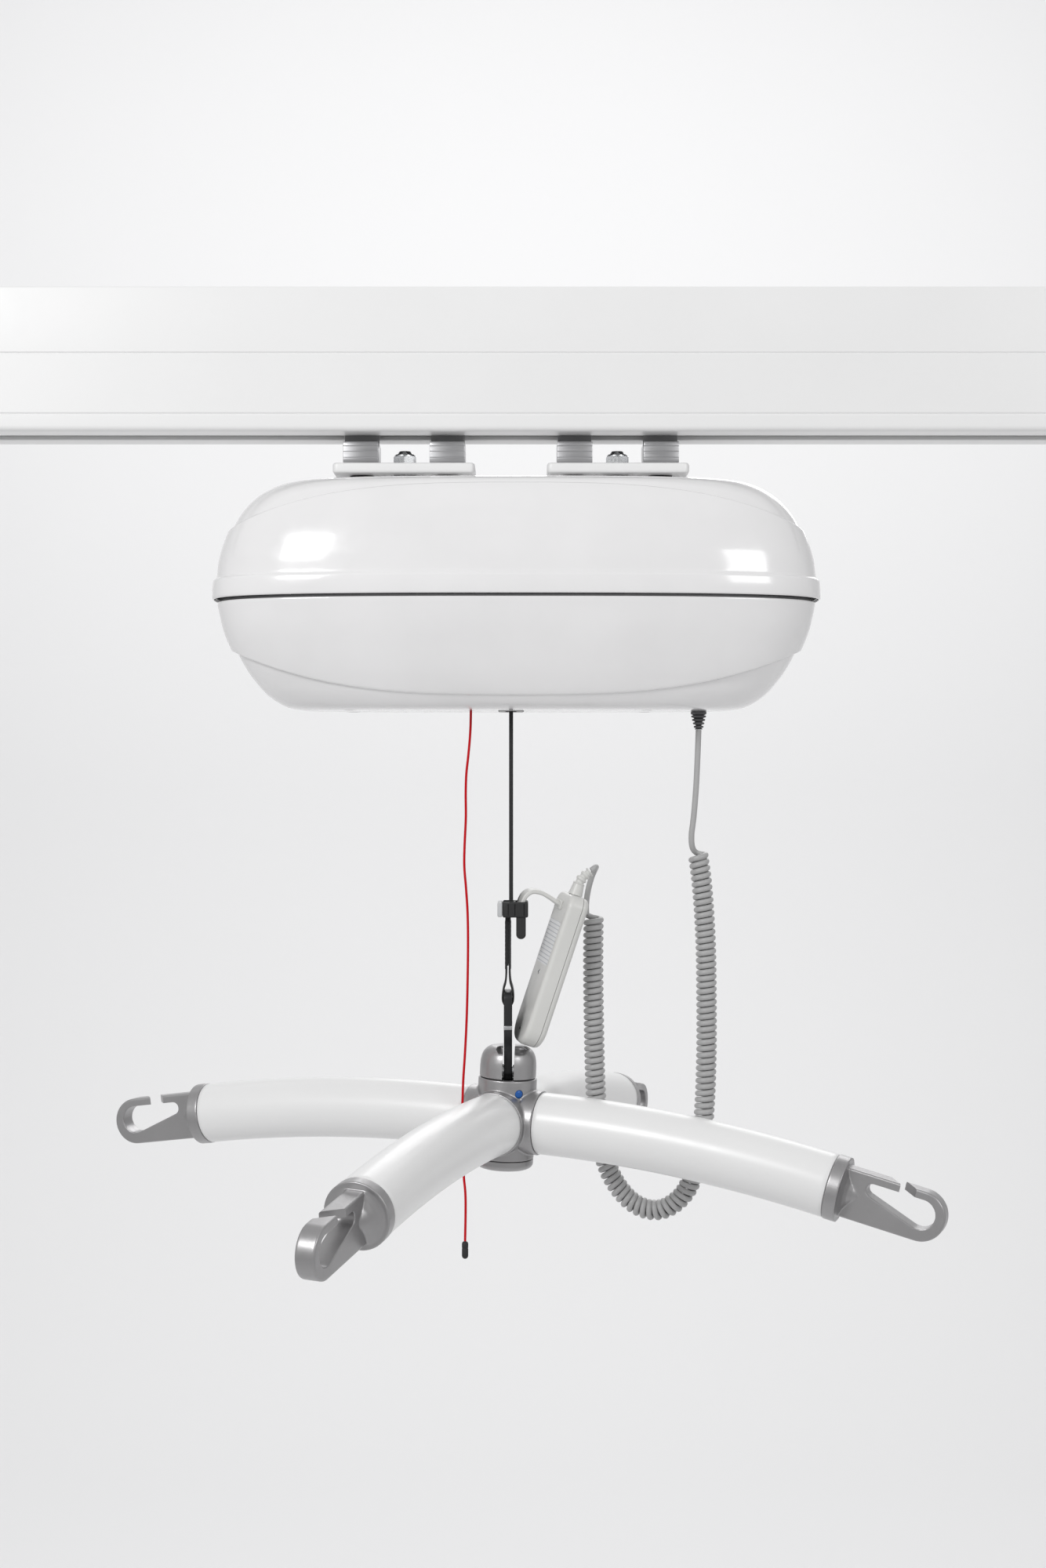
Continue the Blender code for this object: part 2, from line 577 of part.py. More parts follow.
def make_strap():
    half, wide = STRAP_THICK / 2, STRAP_WIDTH / 2
    piece("strap", box((-half, -wide, STRAP_JOIN_Z), (half, wide, DRUM_Z)), WEBBING)
    web, loop, inner = 0.0031, 0.0055, 0.0037
    apex = BAR_TOP + 0.0120
    right = [(web, STRAP_JOIN_Z - GAP), (web, apex - 0.002), (loop, BAR_TOP - 0.004), (loop, BAR_BOTTOM - 0.001),
             (loop * 0.6, BAR_BOTTOM - 0.0040), (0.0, BAR_BOTTOM - 0.0044)]
    outline = right + [(-x, z) for x, z in reversed(right[:-1])]
    hole = [(0.0, apex), (inner, BAR_TOP + 0.0008), (inner, BAR_BOTTOM - GAP - 0.0005),
            (-inner, BAR_BOTTOM - GAP - 0.0005), (-inner, BAR_TOP + 0.0008)]
    piece("strap_loop", flat([outline, hole], STRAP_WIDTH), WEBBING, location=(HANG_X, 0, 0), rotation=FACING_Y)


def make_clip():
    clip = piece("handset_clip", box((-0.0110, -0.0200, CLIP_BOTTOM), (0.0139, 0.0155, CLIP_TOP)), BLACK_RUBBER)
    pocket = as_mesh(cutter(flat([rounded((0.0042, -0.5235), (0.0120, CLIP_BOTTOM + 0.002), 0.0005,
                                          lower_radius=0.0036)], 0.022),
                            location=(0, -0.0075, 0), rotation=FACING_Y))
    join(clip, pocket)
    cut(clip, cutter(box((-0.0066, -0.0130, -0.52), (0.0021, 0.0130, -0.48))),
        cutter(box((0.0036, -0.0180, CLIP_BOTTOM + 0.0005), (0.0122, 0.0030, -0.48))))


def make_hanger():
    """The plate that swings on the loop, built about its swing axis."""
    shoulder, waist, waist_z = 0.0055, 0.0090, -0.612 - SWING_Z
    slope_z, pin_z = -0.598 - SWING_Z, PIN_Z - SWING_Z
    top, bottom = BAR_TOP - SWING_Z, BAR_BOTTOM - SWING_Z
    outline = rounded((-HANGER_HALF, top - 0.030), (HANGER_HALF, top), shoulder)[:10]
    outline += [(-HANGER_HALF, slope_z), (-waist, waist_z)]
    outline += arc((0.0, pin_z), waist, 180, 360, 10) + [(waist, waist_z), (HANGER_HALF, slope_z)]
    slot = rounded((-0.0142, bottom - 0.010), (0.0142, bottom), 0.003, steps=2)
    pin_hole = arc((0.0, pin_z), PIN_RADIUS + 0.0006, 0, 345, 23)
    piece("hanger_plate", flat([outline, slot, pin_hole], HANGER_THICK), DARK_STEEL,
          location=(HANG_X, 0, SWING_Z), rotation=FACING_X)


# ---------------------------------------------------------------- spreader

def make_head(pivot):
    head = turned("swivel_head", [(0, 0.0209), (0.0140, 0.0205), (0.0185, 0.0182), (0.0214, 0.0142),
                                  (HEAD_RADIUS, 0.0080), (HEAD_RADIUS, -0.0046), (0.0175, -0.0046),
                                  (0.0175, -0.0203), (0, -0.0203)], SILVER, sides=32, parent=pivot)
    cut(head, cutter(box((-0.0047, -0.03, -0.0105), (0.0047, 0.03, 0.03)), parent=pivot),
        cutter(rod((-PIN_HALF - GAP, 0, 0), (PIN_HALF + GAP, 0, 0), PIN_RADIUS + GAP, sides=16), parent=pivot))
    piece("swivel_pin", rod((-PIN_HALF, 0, 0), (PIN_HALF, 0, 0), PIN_RADIUS, sides=16), ZINC, parent=pivot)
    turned("swivel_bolt", [(0, -0.0206), (0.0062, -0.0206), (0.0062, -0.0483), (0.0105, -0.0483),
                           (0.0105, -0.0563), (0, -0.0563)], ZINC, sides=16, parent=pivot)


def make_hub(pivot):
    hub = turned("hub", [(0.0180, -0.0052), (HUB_RADIUS, -0.0052), (HUB_RADIUS, -0.0708), (0.0160, -0.0708),
                         (0.0160, -0.0480), (0.0068, -0.0480), (0.0068, -0.0208), (0.0180, -0.0208)],
                 SILVER, sides=32, closed=True, parent=pivot)
    for azimuth in arm_azimuths():
        where = {"parent": pivot, "location": (0, 0, ARM_Z), "rotation": (0, 0, azimuth)}
        join(hub, cutter(rod((COLLAR_START, 0, 0), (COLLAR_END, 0, 0), COLLAR_RADIUS), **where),
             cutter(rod((COLLAR_START, 0, 0), (COLLAR_END + SPIGOT_LENGTH, 0, 0), SPIGOT_RADIUS, sides=16),
                    **where))
    turn = math.radians(ARM_AZIMUTH - 45)
    facing = Vector((math.cos(turn), math.sin(turn), 0))
    middle = Vector((0, 0, -0.0155))
    cut(hub, cutter(rod(middle + facing * 0.0196, middle + facing * 0.03, 0.0035, sides=12), parent=pivot))
    piece("hub_plug", rod(middle + facing * 0.0199, middle + facing * 0.0243, 0.0032, sides=12),
          BLUE_PLASTIC, parent=pivot)
    turned("hub_base", [(0, -0.0650), (0.0155, -0.0650), (0.0155, -0.0711), (0.0237, -0.0711),
                        (0.0237, -0.0748), (0.0225, -0.0776), (0.0190, -0.0792), (0, -0.0797)],
           SILVER, sides=32, parent=pivot)


def arm_azimuths():
    return [math.radians(ARM_AZIMUTH + 90 * i) for i in range(4)]


def make_arm(number, azimuth, pivot):
    """A sleeve that bends down along an arc, and the open hook plugged into its end."""
    root = axis_object("arm_axis_%d" % number, (0, 0, ARM_Z), (0, 0, azimuth), pivot)
    start = COLLAR_END + GAP
    bend = (ARM_END - start - 0.008) / math.sin(ARM_SLOPE)
    steps, stub = 8, 0.004
    path = [(start, 0.0, 0.0)]
    for i in range(steps + 1):
        angle = ARM_SLOPE * i / steps
        path.append((start + stub + bend * math.sin(angle), 0.0, -bend * (1 - math.cos(angle))))
    path.append((path[-1][0] + stub * math.cos(ARM_SLOPE), 0.0, path[-1][2] - stub * math.sin(ARM_SLOPE)))
    arm = as_mesh(piece("arm_%d" % number, wire(path, ARM_RADIUS, 6, caps=False), WHITE_PAINT, parent=root))
    wall = arm.modifiers.new("wall", "SOLIDIFY")
    wall.thickness = ARM_WALL
    wall.offset = -1.0
    make_hook(number, axis_object("hook_axis_%d" % number, path[-1], (0, ARM_SLOPE, 0), root))


def make_hook(number, seat):
    base = RING_LENGTH + GAP
    tip = base + HOOK_LENGTH - HOOK_HALF
    outline = [(base - 0.003, -HOOK_HALF)] + arc((tip, 0.0), HOOK_HALF, -90, 90, 14) + [(base - 0.003, HOOK_HALF)]
    eye = round_slot((base + EYE_NEAR[0], EYE_NEAR[1]), EYE_NEAR_RADIUS,
                     (base + EYE_FAR[0], EYE_FAR[1]), EYE_FAR_RADIUS)
    hook = as_mesh(piece("hook_%d" % number, flat([outline, eye], HOOK_THICK), SILVER,
                         parent=seat, rotation=FACING_Y))
    join(hook, cutter(rod((GAP, 0, 0), (base, 0, 0), RING_RADIUS), parent=seat),
         cutter(rod((-SPIGOT_LENGTH, 0, 0), (base, 0, 0), SPIGOT_RADIUS, sides=16), parent=seat))
    mouth = box((-MOUTH_WIDTH / 2, -0.03, 0.0105), (MOUTH_WIDTH / 2, 0.03, 0.03))
    cut(hook, cutter(mouth, parent=seat, location=(base + MOUTH_X, 0, 0), rotation=(0, 0, MOUTH_TURN)))


# ---------------------------------------------------------------- hand control

def handset_shell(name, x_low, x_high, hollow, seat):
    """One half of the hand control: a tray whose open side is at the seam."""
    outline = rounded((-HANDSET_HALF_WIDTH, -HANDSET_HALF_LENGTH), (HANDSET_HALF_WIDTH, HANDSET_HALF_LENGTH),
                      0.010, lower_radius=0.017)
    shell = as_mesh(piece(name, flat([outline], x_high - x_low), LIGHT_GREY, parent=seat,
                          location=((x_low + x_high) / 2, 0, 0), rotation=FACING_X))
    inner_y, inner_z = HANDSET_HALF_WIDTH - 0.006, HANDSET_HALF_LENGTH - 0.008
    cut(shell, cutter(box((hollow[0], -inner_y, -inner_z), (hollow[1], inner_y, inner_z)), parent=seat))
    return shell


def make_handset():
    seat = axis_object("handset_axis", HANDSET_CENTRE, (0, HANDSET_LEAN, HANDSET_YAW), order="ZYX")
    handset_shell("handset_back_shell", HANDSET_BACK, HANDSET_SEAM - GAP / 2,
                  (HANDSET_BACK + HANDSET_WALL, 0.02), seat)
    front = handset_shell("handset_front_shell", HANDSET_SEAM + GAP / 2, HANDSET_FRONT,
                          (-0.02, HANDSET_FRONT - HANDSET_WALL), seat)
    piece("handset_board", box((-0.0010, -0.015, -0.050), (0.0006, 0.015, 0.050)), BOARD_GREEN, parent=seat)
    for name, z in zip(("button_up", "button_down"), BUTTON_Z):
        cut(front, cutter(rod((0.002, 0, z), (0.012, 0, z), BUTTON_RADIUS + GAP), parent=seat))
        piece(name, rod((0.0050, 0, z), (0.0098, 0, z), BUTTON_RADIUS), DARK_PLASTIC, parent=seat)
    hang = [(HANDSET_BACK - 0.0007, 0.0530), (-0.0200, 0.0560), (-0.0300, 0.0572), (-0.0352, 0.0560),
            (-0.0388, 0.0520), (-0.0398, 0.0455), (-0.0373, 0.0355)]
    piece("handset_hook", flat([band(hang, 0.0024)], 0.016), LIGHT_GREY, parent=seat,
          location=(0, 0.005, 0), rotation=FACING_Y)
    top = HANDSET_HALF_LENGTH + GAP
    boot = [(0, 0, top), (0, 0, 0.0735), (0.0002, 0, 0.0745), (0.0018, 0, 0.0795), (0.0036, 0, 0.0832), (0.0055, 0, 0.0858)]
    radii = (1.3, 1.15, 0.95, 0.88, 0.80, 0.74)
    piece("handset_strain_relief", wire(boot, 0.0046, 3, radii), LIGHT_GREY, parent=seat)


def make_curly_cord():
    piece("cord_tail_upper", wire(smooth_route(TAIL_TOP, 0.010), WIRE_RADIUS), CORD_GREY)
    piece("curly_cord", wire(smooth_route(COIL_ROUTE, 0.018), COIL_RADIUS, 3), CORD_GREY)
    piece("cord_tail_handset", wire(smooth_route(TAIL_END, 0.006), WIRE_RADIUS), CORD_GREY)


PARTS, CUTTERS = start_scene()
WHITE_PAINT = make_material("white_paint", (0.86, 0.86, 0.86), 0.40)
GLOSS_WHITE = make_material("gloss_white_plastic", (0.84, 0.84, 0.84), 0.18)
SILVER = make_material("satin_silver", (0.42, 0.42, 0.43), 0.38, 0.7)
RAW_ALUMINIUM = make_material("raw_aluminium", (0.60, 0.60, 0.61), 0.35, 1.0)
ZINC = make_material("zinc_plated_steel", (0.66, 0.67, 0.68), 0.25, 1.0)
GREY_STEEL = make_material("grey_steel", (0.45, 0.46, 0.47), 0.40, 1.0)
DARK_STEEL = make_material("dark_steel", (0.03, 0.03, 0.03), 0.35, 0.6)
BRONZE = make_material("bronze", (0.60, 0.42, 0.20), 0.35, 1.0)
WEBBING = make_material("black_webbing", (0.012, 0.012, 0.012), 0.85)
BLACK_PLASTIC = make_material("black_plastic", (0.02, 0.02, 0.02), 0.45)
BLACK_RUBBER = make_material("black_rubber", (0.015, 0.015, 0.015), 0.70)
GREY_PLASTIC = make_material("grey_plastic", (0.45, 0.45, 0.45), 0.50)
DARK_PLASTIC = make_material("dark_grey_plastic", (0.16, 0.16, 0.16), 0.50)
LIGHT_GREY = make_material("light_grey_plastic", (0.72, 0.72, 0.70), 0.40)
CORD_GREY = make_material("cord_grey", (0.42, 0.42, 0.42), 0.55)
RED_PLASTIC = make_material("red_plastic", (0.62, 0.02, 0.03), 0.50)
BLUE_PLASTIC = make_material("blue_plastic", (0.01, 0.08, 0.45), 0.35)
BOARD_GREEN = make_material("board_green", (0.02, 0.20, 0.08), 0.50)

make_rail()
make_trolley("left", -TROLLEY_X)
make_trolley("right", TROLLEY_X)
make_case()
make_chassis()
make_drum()
make_gearbox()
make_electrics()
make_outlets()
make_emergency_lowering()
make_strap()
make_clip()
make_hanger()
PIVOT = axis_object("head_pivot", (HANG_X, 0, PIN_Z), (TILT_FRONT, TILT_RIGHT, 0))
make_head(PIVOT)
make_hub(PIVOT)
for index, angle in enumerate(arm_azimuths(), 1):
    make_arm(index, angle, PIVOT)
make_handset()
make_curly_cord()
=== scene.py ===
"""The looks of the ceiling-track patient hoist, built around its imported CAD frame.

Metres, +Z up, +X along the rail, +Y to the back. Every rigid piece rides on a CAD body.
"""
import math

import bmesh
import bpy
from mathutils import Matrix, Vector


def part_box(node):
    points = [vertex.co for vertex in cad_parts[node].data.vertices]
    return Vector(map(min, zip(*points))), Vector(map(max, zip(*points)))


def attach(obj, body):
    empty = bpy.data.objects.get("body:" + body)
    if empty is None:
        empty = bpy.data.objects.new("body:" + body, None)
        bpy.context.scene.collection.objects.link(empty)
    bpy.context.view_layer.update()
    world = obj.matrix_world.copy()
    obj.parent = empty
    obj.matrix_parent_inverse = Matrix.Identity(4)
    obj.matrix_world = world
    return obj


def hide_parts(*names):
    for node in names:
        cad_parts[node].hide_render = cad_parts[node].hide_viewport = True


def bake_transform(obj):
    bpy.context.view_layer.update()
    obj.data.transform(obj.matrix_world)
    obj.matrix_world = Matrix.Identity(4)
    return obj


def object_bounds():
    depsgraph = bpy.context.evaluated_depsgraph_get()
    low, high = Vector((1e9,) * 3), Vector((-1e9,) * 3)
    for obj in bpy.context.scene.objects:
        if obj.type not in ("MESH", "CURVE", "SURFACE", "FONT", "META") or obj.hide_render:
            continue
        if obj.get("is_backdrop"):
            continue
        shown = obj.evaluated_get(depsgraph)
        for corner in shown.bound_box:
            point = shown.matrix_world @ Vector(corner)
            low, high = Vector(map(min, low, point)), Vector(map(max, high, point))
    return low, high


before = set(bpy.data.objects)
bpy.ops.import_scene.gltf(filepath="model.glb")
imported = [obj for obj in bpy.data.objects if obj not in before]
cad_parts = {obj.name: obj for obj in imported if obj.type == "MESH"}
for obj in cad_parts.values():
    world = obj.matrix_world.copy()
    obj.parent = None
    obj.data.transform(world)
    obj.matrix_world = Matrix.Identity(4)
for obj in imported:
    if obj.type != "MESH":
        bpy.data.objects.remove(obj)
CAD_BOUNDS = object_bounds()


def shift(x, y, z):
    return Matrix.Translation((x, y, z))


def rotate(degrees, axis):
    return Matrix.Rotation(math.radians(degrees), 4, axis)


# ---------------------------------------------------------------- driving sizes

CAMERA = (0.0097, -1.80, -0.398)
LENS = 50.6

HANG_X = -0.0025                # middle of the loop, hanger and hub
PIN_Z = -0.632
HEAD_PLACE = shift(HANG_X, 0, PIN_Z) @ (rotate(2.5, "Y") @ rotate(1.6, "X"))

RAIL_SIZE = (1.0, 0.075, 0.1154)
RAIL_GROOVES = (-0.0532, -0.1018)
RAIL_WALL = 0.0035
AXLE_Z = -0.0881
TROLLEYS = (("left", -0.0866), ("right", 0.0866))
AXLES = (("left_outer", -0.1216), ("left_inner", -0.0516),
         ("right_inner", 0.0516), ("right_outer", 0.1216))

CASE_X, CASE_LENGTH, CASE_DEPTH = 0.0043, 0.2470, 0.0880
CASE_FOLLOW, CASE_POWER, CASE_WALL = 0.6, 3.0, 0.0026
CASE_BOTTOM, SCREW_SEAT = -0.3385, -0.3356
THROUGH_BOTTOM = (-0.35, -0.33)     # the heights between which a tool cuts the bottom cover

STRAP_HALF, STRAP_JOIN_Z = 0.0125, -0.5000
CLIP_TOP, CLIP_BOTTOM = -0.4935, -0.5060
BAR_TOP, BAR_BOTTOM = -0.5668, -0.5745

ARM_Z, ARM_AZIMUTH, ARM_RADIUS, ARM_WALL = -0.040, -21.0, 0.025, 0.003
COLLAR_END, ARM_END, ARM_SLOPE, STUB = 0.031, 0.272, math.radians(11.0), 0.004

HANDSET_PLACE = shift(0.0320, -0.0040, -0.5493) @ (rotate(18.4, "Y") @ rotate(13.0, "Z"))
HANDSET_SEAM = 0.0035
BUTTONS = (("button_up", 0.022, 1), ("button_down", -0.002, -1))     # name, height, arrow up or down
HANDSET_SCREWS = ((0, -0.052), (0, -0.004))

WIRE_RADIUS, COIL_RADIUS, COIL_PITCH = 0.0024, 0.0085, 0.00515
WIRE_SIDES, TURN_STEPS = 10, 20
TAIL_TOP = ((0.1531, 0.0, -0.3538), (0.1524, 0.0, -0.3720), (0.1512, 0.0, -0.3980),
            (0.1492, 0.0, -0.4236), (0.1472, 0.0, -0.4396), (0.1464, 0.0, -0.4538))
COIL_ROUTE = ((0.1525, 0.0, -0.4541), (0.1560, 0.0, -0.4820), (0.1588, 0.0, -0.5260),
              (0.1595, 0.0, -0.5700), (0.1595, 0.0, -0.6156), (0.1580, 0.0, -0.6600),
              (0.1540, 0.001, -0.6990), (0.1440, 0.003, -0.7290), (0.1290, 0.005, -0.7440),
              (0.1130, 0.008, -0.7470), (0.0960, 0.011, -0.7385), (0.0810, 0.013, -0.7170),
              (0.0725, 0.014, -0.6850), (0.0693, 0.014, -0.6450), (0.0680, 0.014, -0.5900),
              (0.0675, 0.014, -0.5450), (0.0678, 0.014, -0.5070))
TAIL_END = ((0.0618, 0.0140, -0.5055), (0.0618, 0.0145, -0.4960), (0.0634, 0.0146, -0.4850),
            (0.0662, 0.0130, -0.4745), (0.0686, 0.0095, -0.4685), (0.0695, 0.0045, -0.4660),
            (0.0688, 0.0002, -0.4660), (0.0672, -0.0019, -0.4671), (0.0653, -0.0025, -0.4684))
RED_ROUTE = ((-0.0325, -0.0150, -0.3123), (-0.0325, -0.0150, -0.3385), (-0.0330, -0.0150, -0.3560),
             (-0.0345, -0.0150, -0.3740), (-0.0362, -0.0150, -0.3900), (-0.0367, -0.0150, -0.4060),
             (-0.0366, -0.0150, -0.4250), (-0.0376, -0.0150, -0.4480), (-0.0378, -0.0150, -0.4650),
             (-0.0364, -0.0150, -0.4830), (-0.0352, -0.0150, -0.5020), (-0.0348, -0.0150, -0.5260),
             (-0.0352, -0.0150, -0.5600), (-0.0360, -0.0151, -0.5900), (-0.0374, -0.0151, -0.6180),
             (-0.0389, -0.0150, -0.6430), (-0.0395, -0.0150, -0.6800), (-0.0384, -0.0151, -0.7130),
             (-0.0370, -0.0152, -0.7290), (-0.0368, -0.0152, -0.7450), (-0.0372, -0.0152, -0.7681))
RED_RADIUS = 0.001
VOXEL = 0.0005                  # the grid on which the cast pieces are rounded off


# ---------------------------------------------------------------- materials

class Surface:
    """A Principled material whose colour, roughness and bump come from procedural nodes."""

    def __init__(self, name, colour, roughness, metallic=0.0, coat=0.0, coat_roughness=0.1, sheen=0.0):
        self.material = bpy.data.materials.new(name)
        self.material.use_nodes = True
        self.nodes = self.material.node_tree.nodes
        self.links = self.material.node_tree.links
        self.shader = self.nodes["Principled BSDF"].inputs
        self.colour, self.roughness = colour, roughness
        for name, value in (("Base Color", (*colour, 1.0)), ("Roughness", roughness),
                            ("Metallic", metallic), ("Coat Weight", coat),
                            ("Coat Roughness", coat_roughness), ("Sheen Weight", sheen)):
            self.shader[name].default_value = value
        self.place = self.nodes.new("ShaderNodeTexCoord").outputs["Object"]
        self.normal = None

    def node(self, kind, output, inputs, **settings):
        """An output of a new node. Its inputs are values or the outputs of other nodes."""
        made = self.nodes.new("ShaderNode" + kind)
        for name, value in settings.items():
            setattr(made, name, value)
        for name, value in inputs.items():
            if isinstance(value, bpy.types.NodeSocket):
                self.links.new(value, made.inputs[name])
            else:
                made.inputs[name].default_value = value
        return made.outputs[output]

    def noise(self, scale, detail=4.0, stretch=(1, 1, 1)):
        """A noise value over the object, drawn out along the axes with a small stretch."""
        place = self.node("Mapping", "Vector", {"Scale": stretch, "Vector": self.place})
        return self.node("TexNoise", "Fac", {"Scale": scale, "Detail": detail, "Vector": place})

    def waves(self, scale, direction="Z", profile="SIN"):
        return self.node("TexWave", "Fac", {"Scale": scale, "Vector": self.place},
                         bands_direction=direction, wave_profile=profile)

    def along(self, axis):
        return self.node("SeparateXYZ", axis, {"Vector": self.place})

    def math(self, operation, first, second):
        return self.node("Math", 0, {0: first, 1: second}, operation=operation)

    def spread(self, value, low, high):
        """A noise value of 0.3 to 0.7 as one between low and high."""
        return self.node("MapRange", "Result", {"From Min": 0.3, "From Max": 0.7, "To Min": low,
                                                "To Max": high, "Value": value})

    def mix(self, value, dark, light):
        """Take the base colour from between two shades."""
        mixed = self.node("Mix", "Result", {"A": (*dark, 1.0), "B": (*light, 1.0), "Factor": value},
                          data_type="RGBA")
        self.links.new(mixed, self.shader["Base Color"])

    def tint(self, value, amount, other=None):
        """Vary the base colour with a 0 to 1 value, by an amount or down to another colour."""
        dark = other or [c * (1 - amount) for c in self.colour]
        light = self.colour if other else [min(1.0, c * (1 + amount)) for c in self.colour]
        self.mix(self.spread(value, 0.0, 1.0), dark, light)

    def gloss(self, value, amount):
        """Vary the roughness."""
        self.links.new(self.spread(value, self.roughness - amount, self.roughness + amount),
                       self.shader["Roughness"])

    def bump(self, value, depth, strength=1.0):
        """Bump on top of any bump so far."""
        inputs = {"Strength": strength, "Distance": depth, "Height": value}
        if self.normal:
            inputs["Normal"] = self.normal
        self.normal = self.node("Bump", "Normal", inputs)
        self.links.new(self.normal, self.shader["Normal"])


def textured(made, tint, gloss, grain):
    """The material with its tint, gloss and grain, each given as (noise, amount, ...)."""
    for vary, (noise, *amounts) in ((made.tint, tint), (made.gloss, gloss), (made.bump, grain)):
        vary(made.noise(*noise), *amounts)
    return made.material


def powder_coat(name, colour, roughness=0.38):
    """Paint with the fine orange peel of a powder coat."""
    made = Surface(name, colour, roughness, coat=0.25, coat_roughness=0.25)
    return textured(made, ((7, 3), 0.012), ((60, 2), 0.03), ((650, 2), 0.00004, 0.45))


def moulded(name, colour, roughness, grain=0.00005, coat=0.0):
    """Moulded plastic with a light spark-eroded grain."""
    made = Surface(name, colour, roughness, coat=coat, coat_roughness=0.08)
    return textured(made, ((14, 3), 0.025), ((90, 4), 0.05), ((1500, 3), grain, 0.5))


def metal(name, colour, roughness, stretch=(1, 1, 1), grain=0.00003, weight=1.0):
    """Metal whose fine scratches run along the axis with a small stretch."""
    made = Surface(name, colour, roughness, metallic=weight)
    return textured(made, ((20, 4), 0.05), ((700, 5, stretch), 0.09), ((1500, 3, stretch), grain, 0.5))


def blasted_silver():
    """Cast metal with a silver bead-blasted finish."""
    made = Surface("blasted_silver", (0.42, 0.415, 0.42), 0.36, metallic=0.85)
    return textured(made, ((30, 4), 0.04), ((400, 3), 0.05), ((2600, 2), 0.00004, 0.6))


def webbing():
    """Black woven polyester: a herringbone of weft ribs, with a slight sheen."""
    made = Surface("webbing", (0.022, 0.022, 0.024), 0.72, sheen=0.35)
    row = made.math("ADD", made.along("Z"), made.math("PINGPONG", made.along("Y"), 0.0025))
    rib = 0.0007
    weave = made.math("MULTIPLY", made.math("PINGPONG", row, rib), 1 / rib)
    made.tint(made.math("MULTIPLY", weave, made.noise(500, 3)), 0.5, other=(0.008, 0.008, 0.009))
    made.bump(weave, 0.00018, 0.8)
    made.bump(made.noise(2400, 3), 0.00006, 0.7)
    return made.material


def braided(name, colour, scale):
    """A thin braided cord."""
    made = Surface(name, colour, 0.55)
    made.shader["Specular IOR Level"].default_value = 0.2
    strands = made.math("MULTIPLY", made.waves(scale, "DIAGONAL"), made.waves(scale * 0.8, "Z"))
    made.tint(strands, 0.25)
    made.bump(strands, 0.00015, 0.6)
    return made.material


def label_paper():
    """A blank laminated label with faint grey rules."""
    paper, ink = (0.78, 0.79, 0.80), (0.42, 0.44, 0.48)
    made = Surface("label", paper, 0.30, coat=0.4)
    rules = made.math("PINGPONG", made.along("Z"), 0.0016)
    made.mix(made.math("GREATER_THAN", rules, 0.0012), paper, ink)
    return made.material


def circuit_board():
    """A green board with fine rows of tracks."""
    made = Surface("circuit_board", (0.03, 0.22, 0.09), 0.35, coat=0.4)
    made.tint(made.waves(160, "X", "SAW"), 0.25)
    made.bump(made.noise(260, 4), 0.0002, 0.5)
    return made.material


WHITE = powder_coat("white_powder_coat", (0.88, 0.88, 0.88))
ARM_WHITE = powder_coat("arm_powder_coat", (0.86, 0.86, 0.86), 0.32)
SHELL = moulded("gloss_white_shell", (0.87, 0.865, 0.87), 0.16, 0.00001, coat=0.5)
SILVER = blasted_silver()
ALUMINIUM = metal("milled_aluminium", (0.42, 0.42, 0.43), 0.36, (0.05, 1, 1), 0.000015)
ZINC = metal("zinc_plate", (0.62, 0.63, 0.64), 0.26, grain=0.00001)
STEEL = metal("grey_steel", (0.42, 0.43, 0.44), 0.38, (0.05, 1, 1))
BLACK_STEEL = metal("black_steel", (0.035, 0.036, 0.038), 0.36, (1, 1, 0.08), 0.00005, 0.55)
BLACK_OXIDE = metal("black_oxide", (0.03, 0.03, 0.032), 0.42, weight=0.8)
BRONZE = metal("bronze", (0.55, 0.38, 0.18), 0.32)
WEBBING = webbing()
BLACK_PLASTIC = moulded("black_plastic", (0.020, 0.020, 0.021), 0.42)
RUBBER = moulded("black_rubber", (0.017, 0.017, 0.018), 0.58, 0.00012)
GREY_PLASTIC = moulded("grey_plastic", (0.40, 0.40, 0.40), 0.48)
DARK_PLASTIC = moulded("dark_grey_plastic", (0.10, 0.10, 0.105), 0.46)
LIGHT_GREY = moulded("light_grey_plastic", (0.70, 0.70, 0.68), 0.34, 0.00005)
BAND_GREY = moulded("band_grey", (0.55, 0.56, 0.57), 0.45)
CORD_GREY = moulded("cord_grey", (0.44, 0.44, 0.44), 0.40, 0.00004)
# A dark grey that paints shade onto real parts: the shadow line along the seam between the casing's
# covers, and the shade inside the rail's slot on the trolleys' necks.
PAINTED_SHADE_GREY = moulded("painted_shade_grey", (0.22, 0.22, 0.225), 0.60)
RED_BRAID = braided("red_braid", (0.72, 0.004, 0.012), 900)
RED_PLASTIC = moulded("red_plastic", (0.55, 0.02, 0.03), 0.42)
BLUE_PLASTIC = moulded("blue_plastic", (0.003, 0.10, 0.40), 0.28, coat=0.3)
GREEN_BOARD = circuit_board()
LABEL = label_paper()

SLOTS = {material.name: slot for slot, *materials in (
    ("white_paint", WHITE, ARM_WHITE), ("gloss_white_plastic", SHELL), ("satin_silver", SILVER),
    ("raw_aluminium", ALUMINIUM), ("zinc_steel", ZINC), ("dark_steel", BLACK_STEEL, BLACK_OXIDE),
    ("grey_plastic", GREY_PLASTIC, PAINTED_SHADE_GREY), ("dark_grey_plastic", DARK_PLASTIC),
    ("light_grey_plastic", LIGHT_GREY, BAND_GREY, LABEL), ("black_plastic", BLACK_PLASTIC),
    ("black_rubber", RUBBER), ("black_webbing", WEBBING), ("blue_plastic", BLUE_PLASTIC),
    ("cord_grey", CORD_GREY), ("red_plastic", RED_BRAID)) for material in materials}


# ---------------------------------------------------------------- mesh tools

def linked(name, data):
    obj = bpy.data.objects.new(name, data)
    bpy.context.scene.collection.objects.link(obj)
    return obj


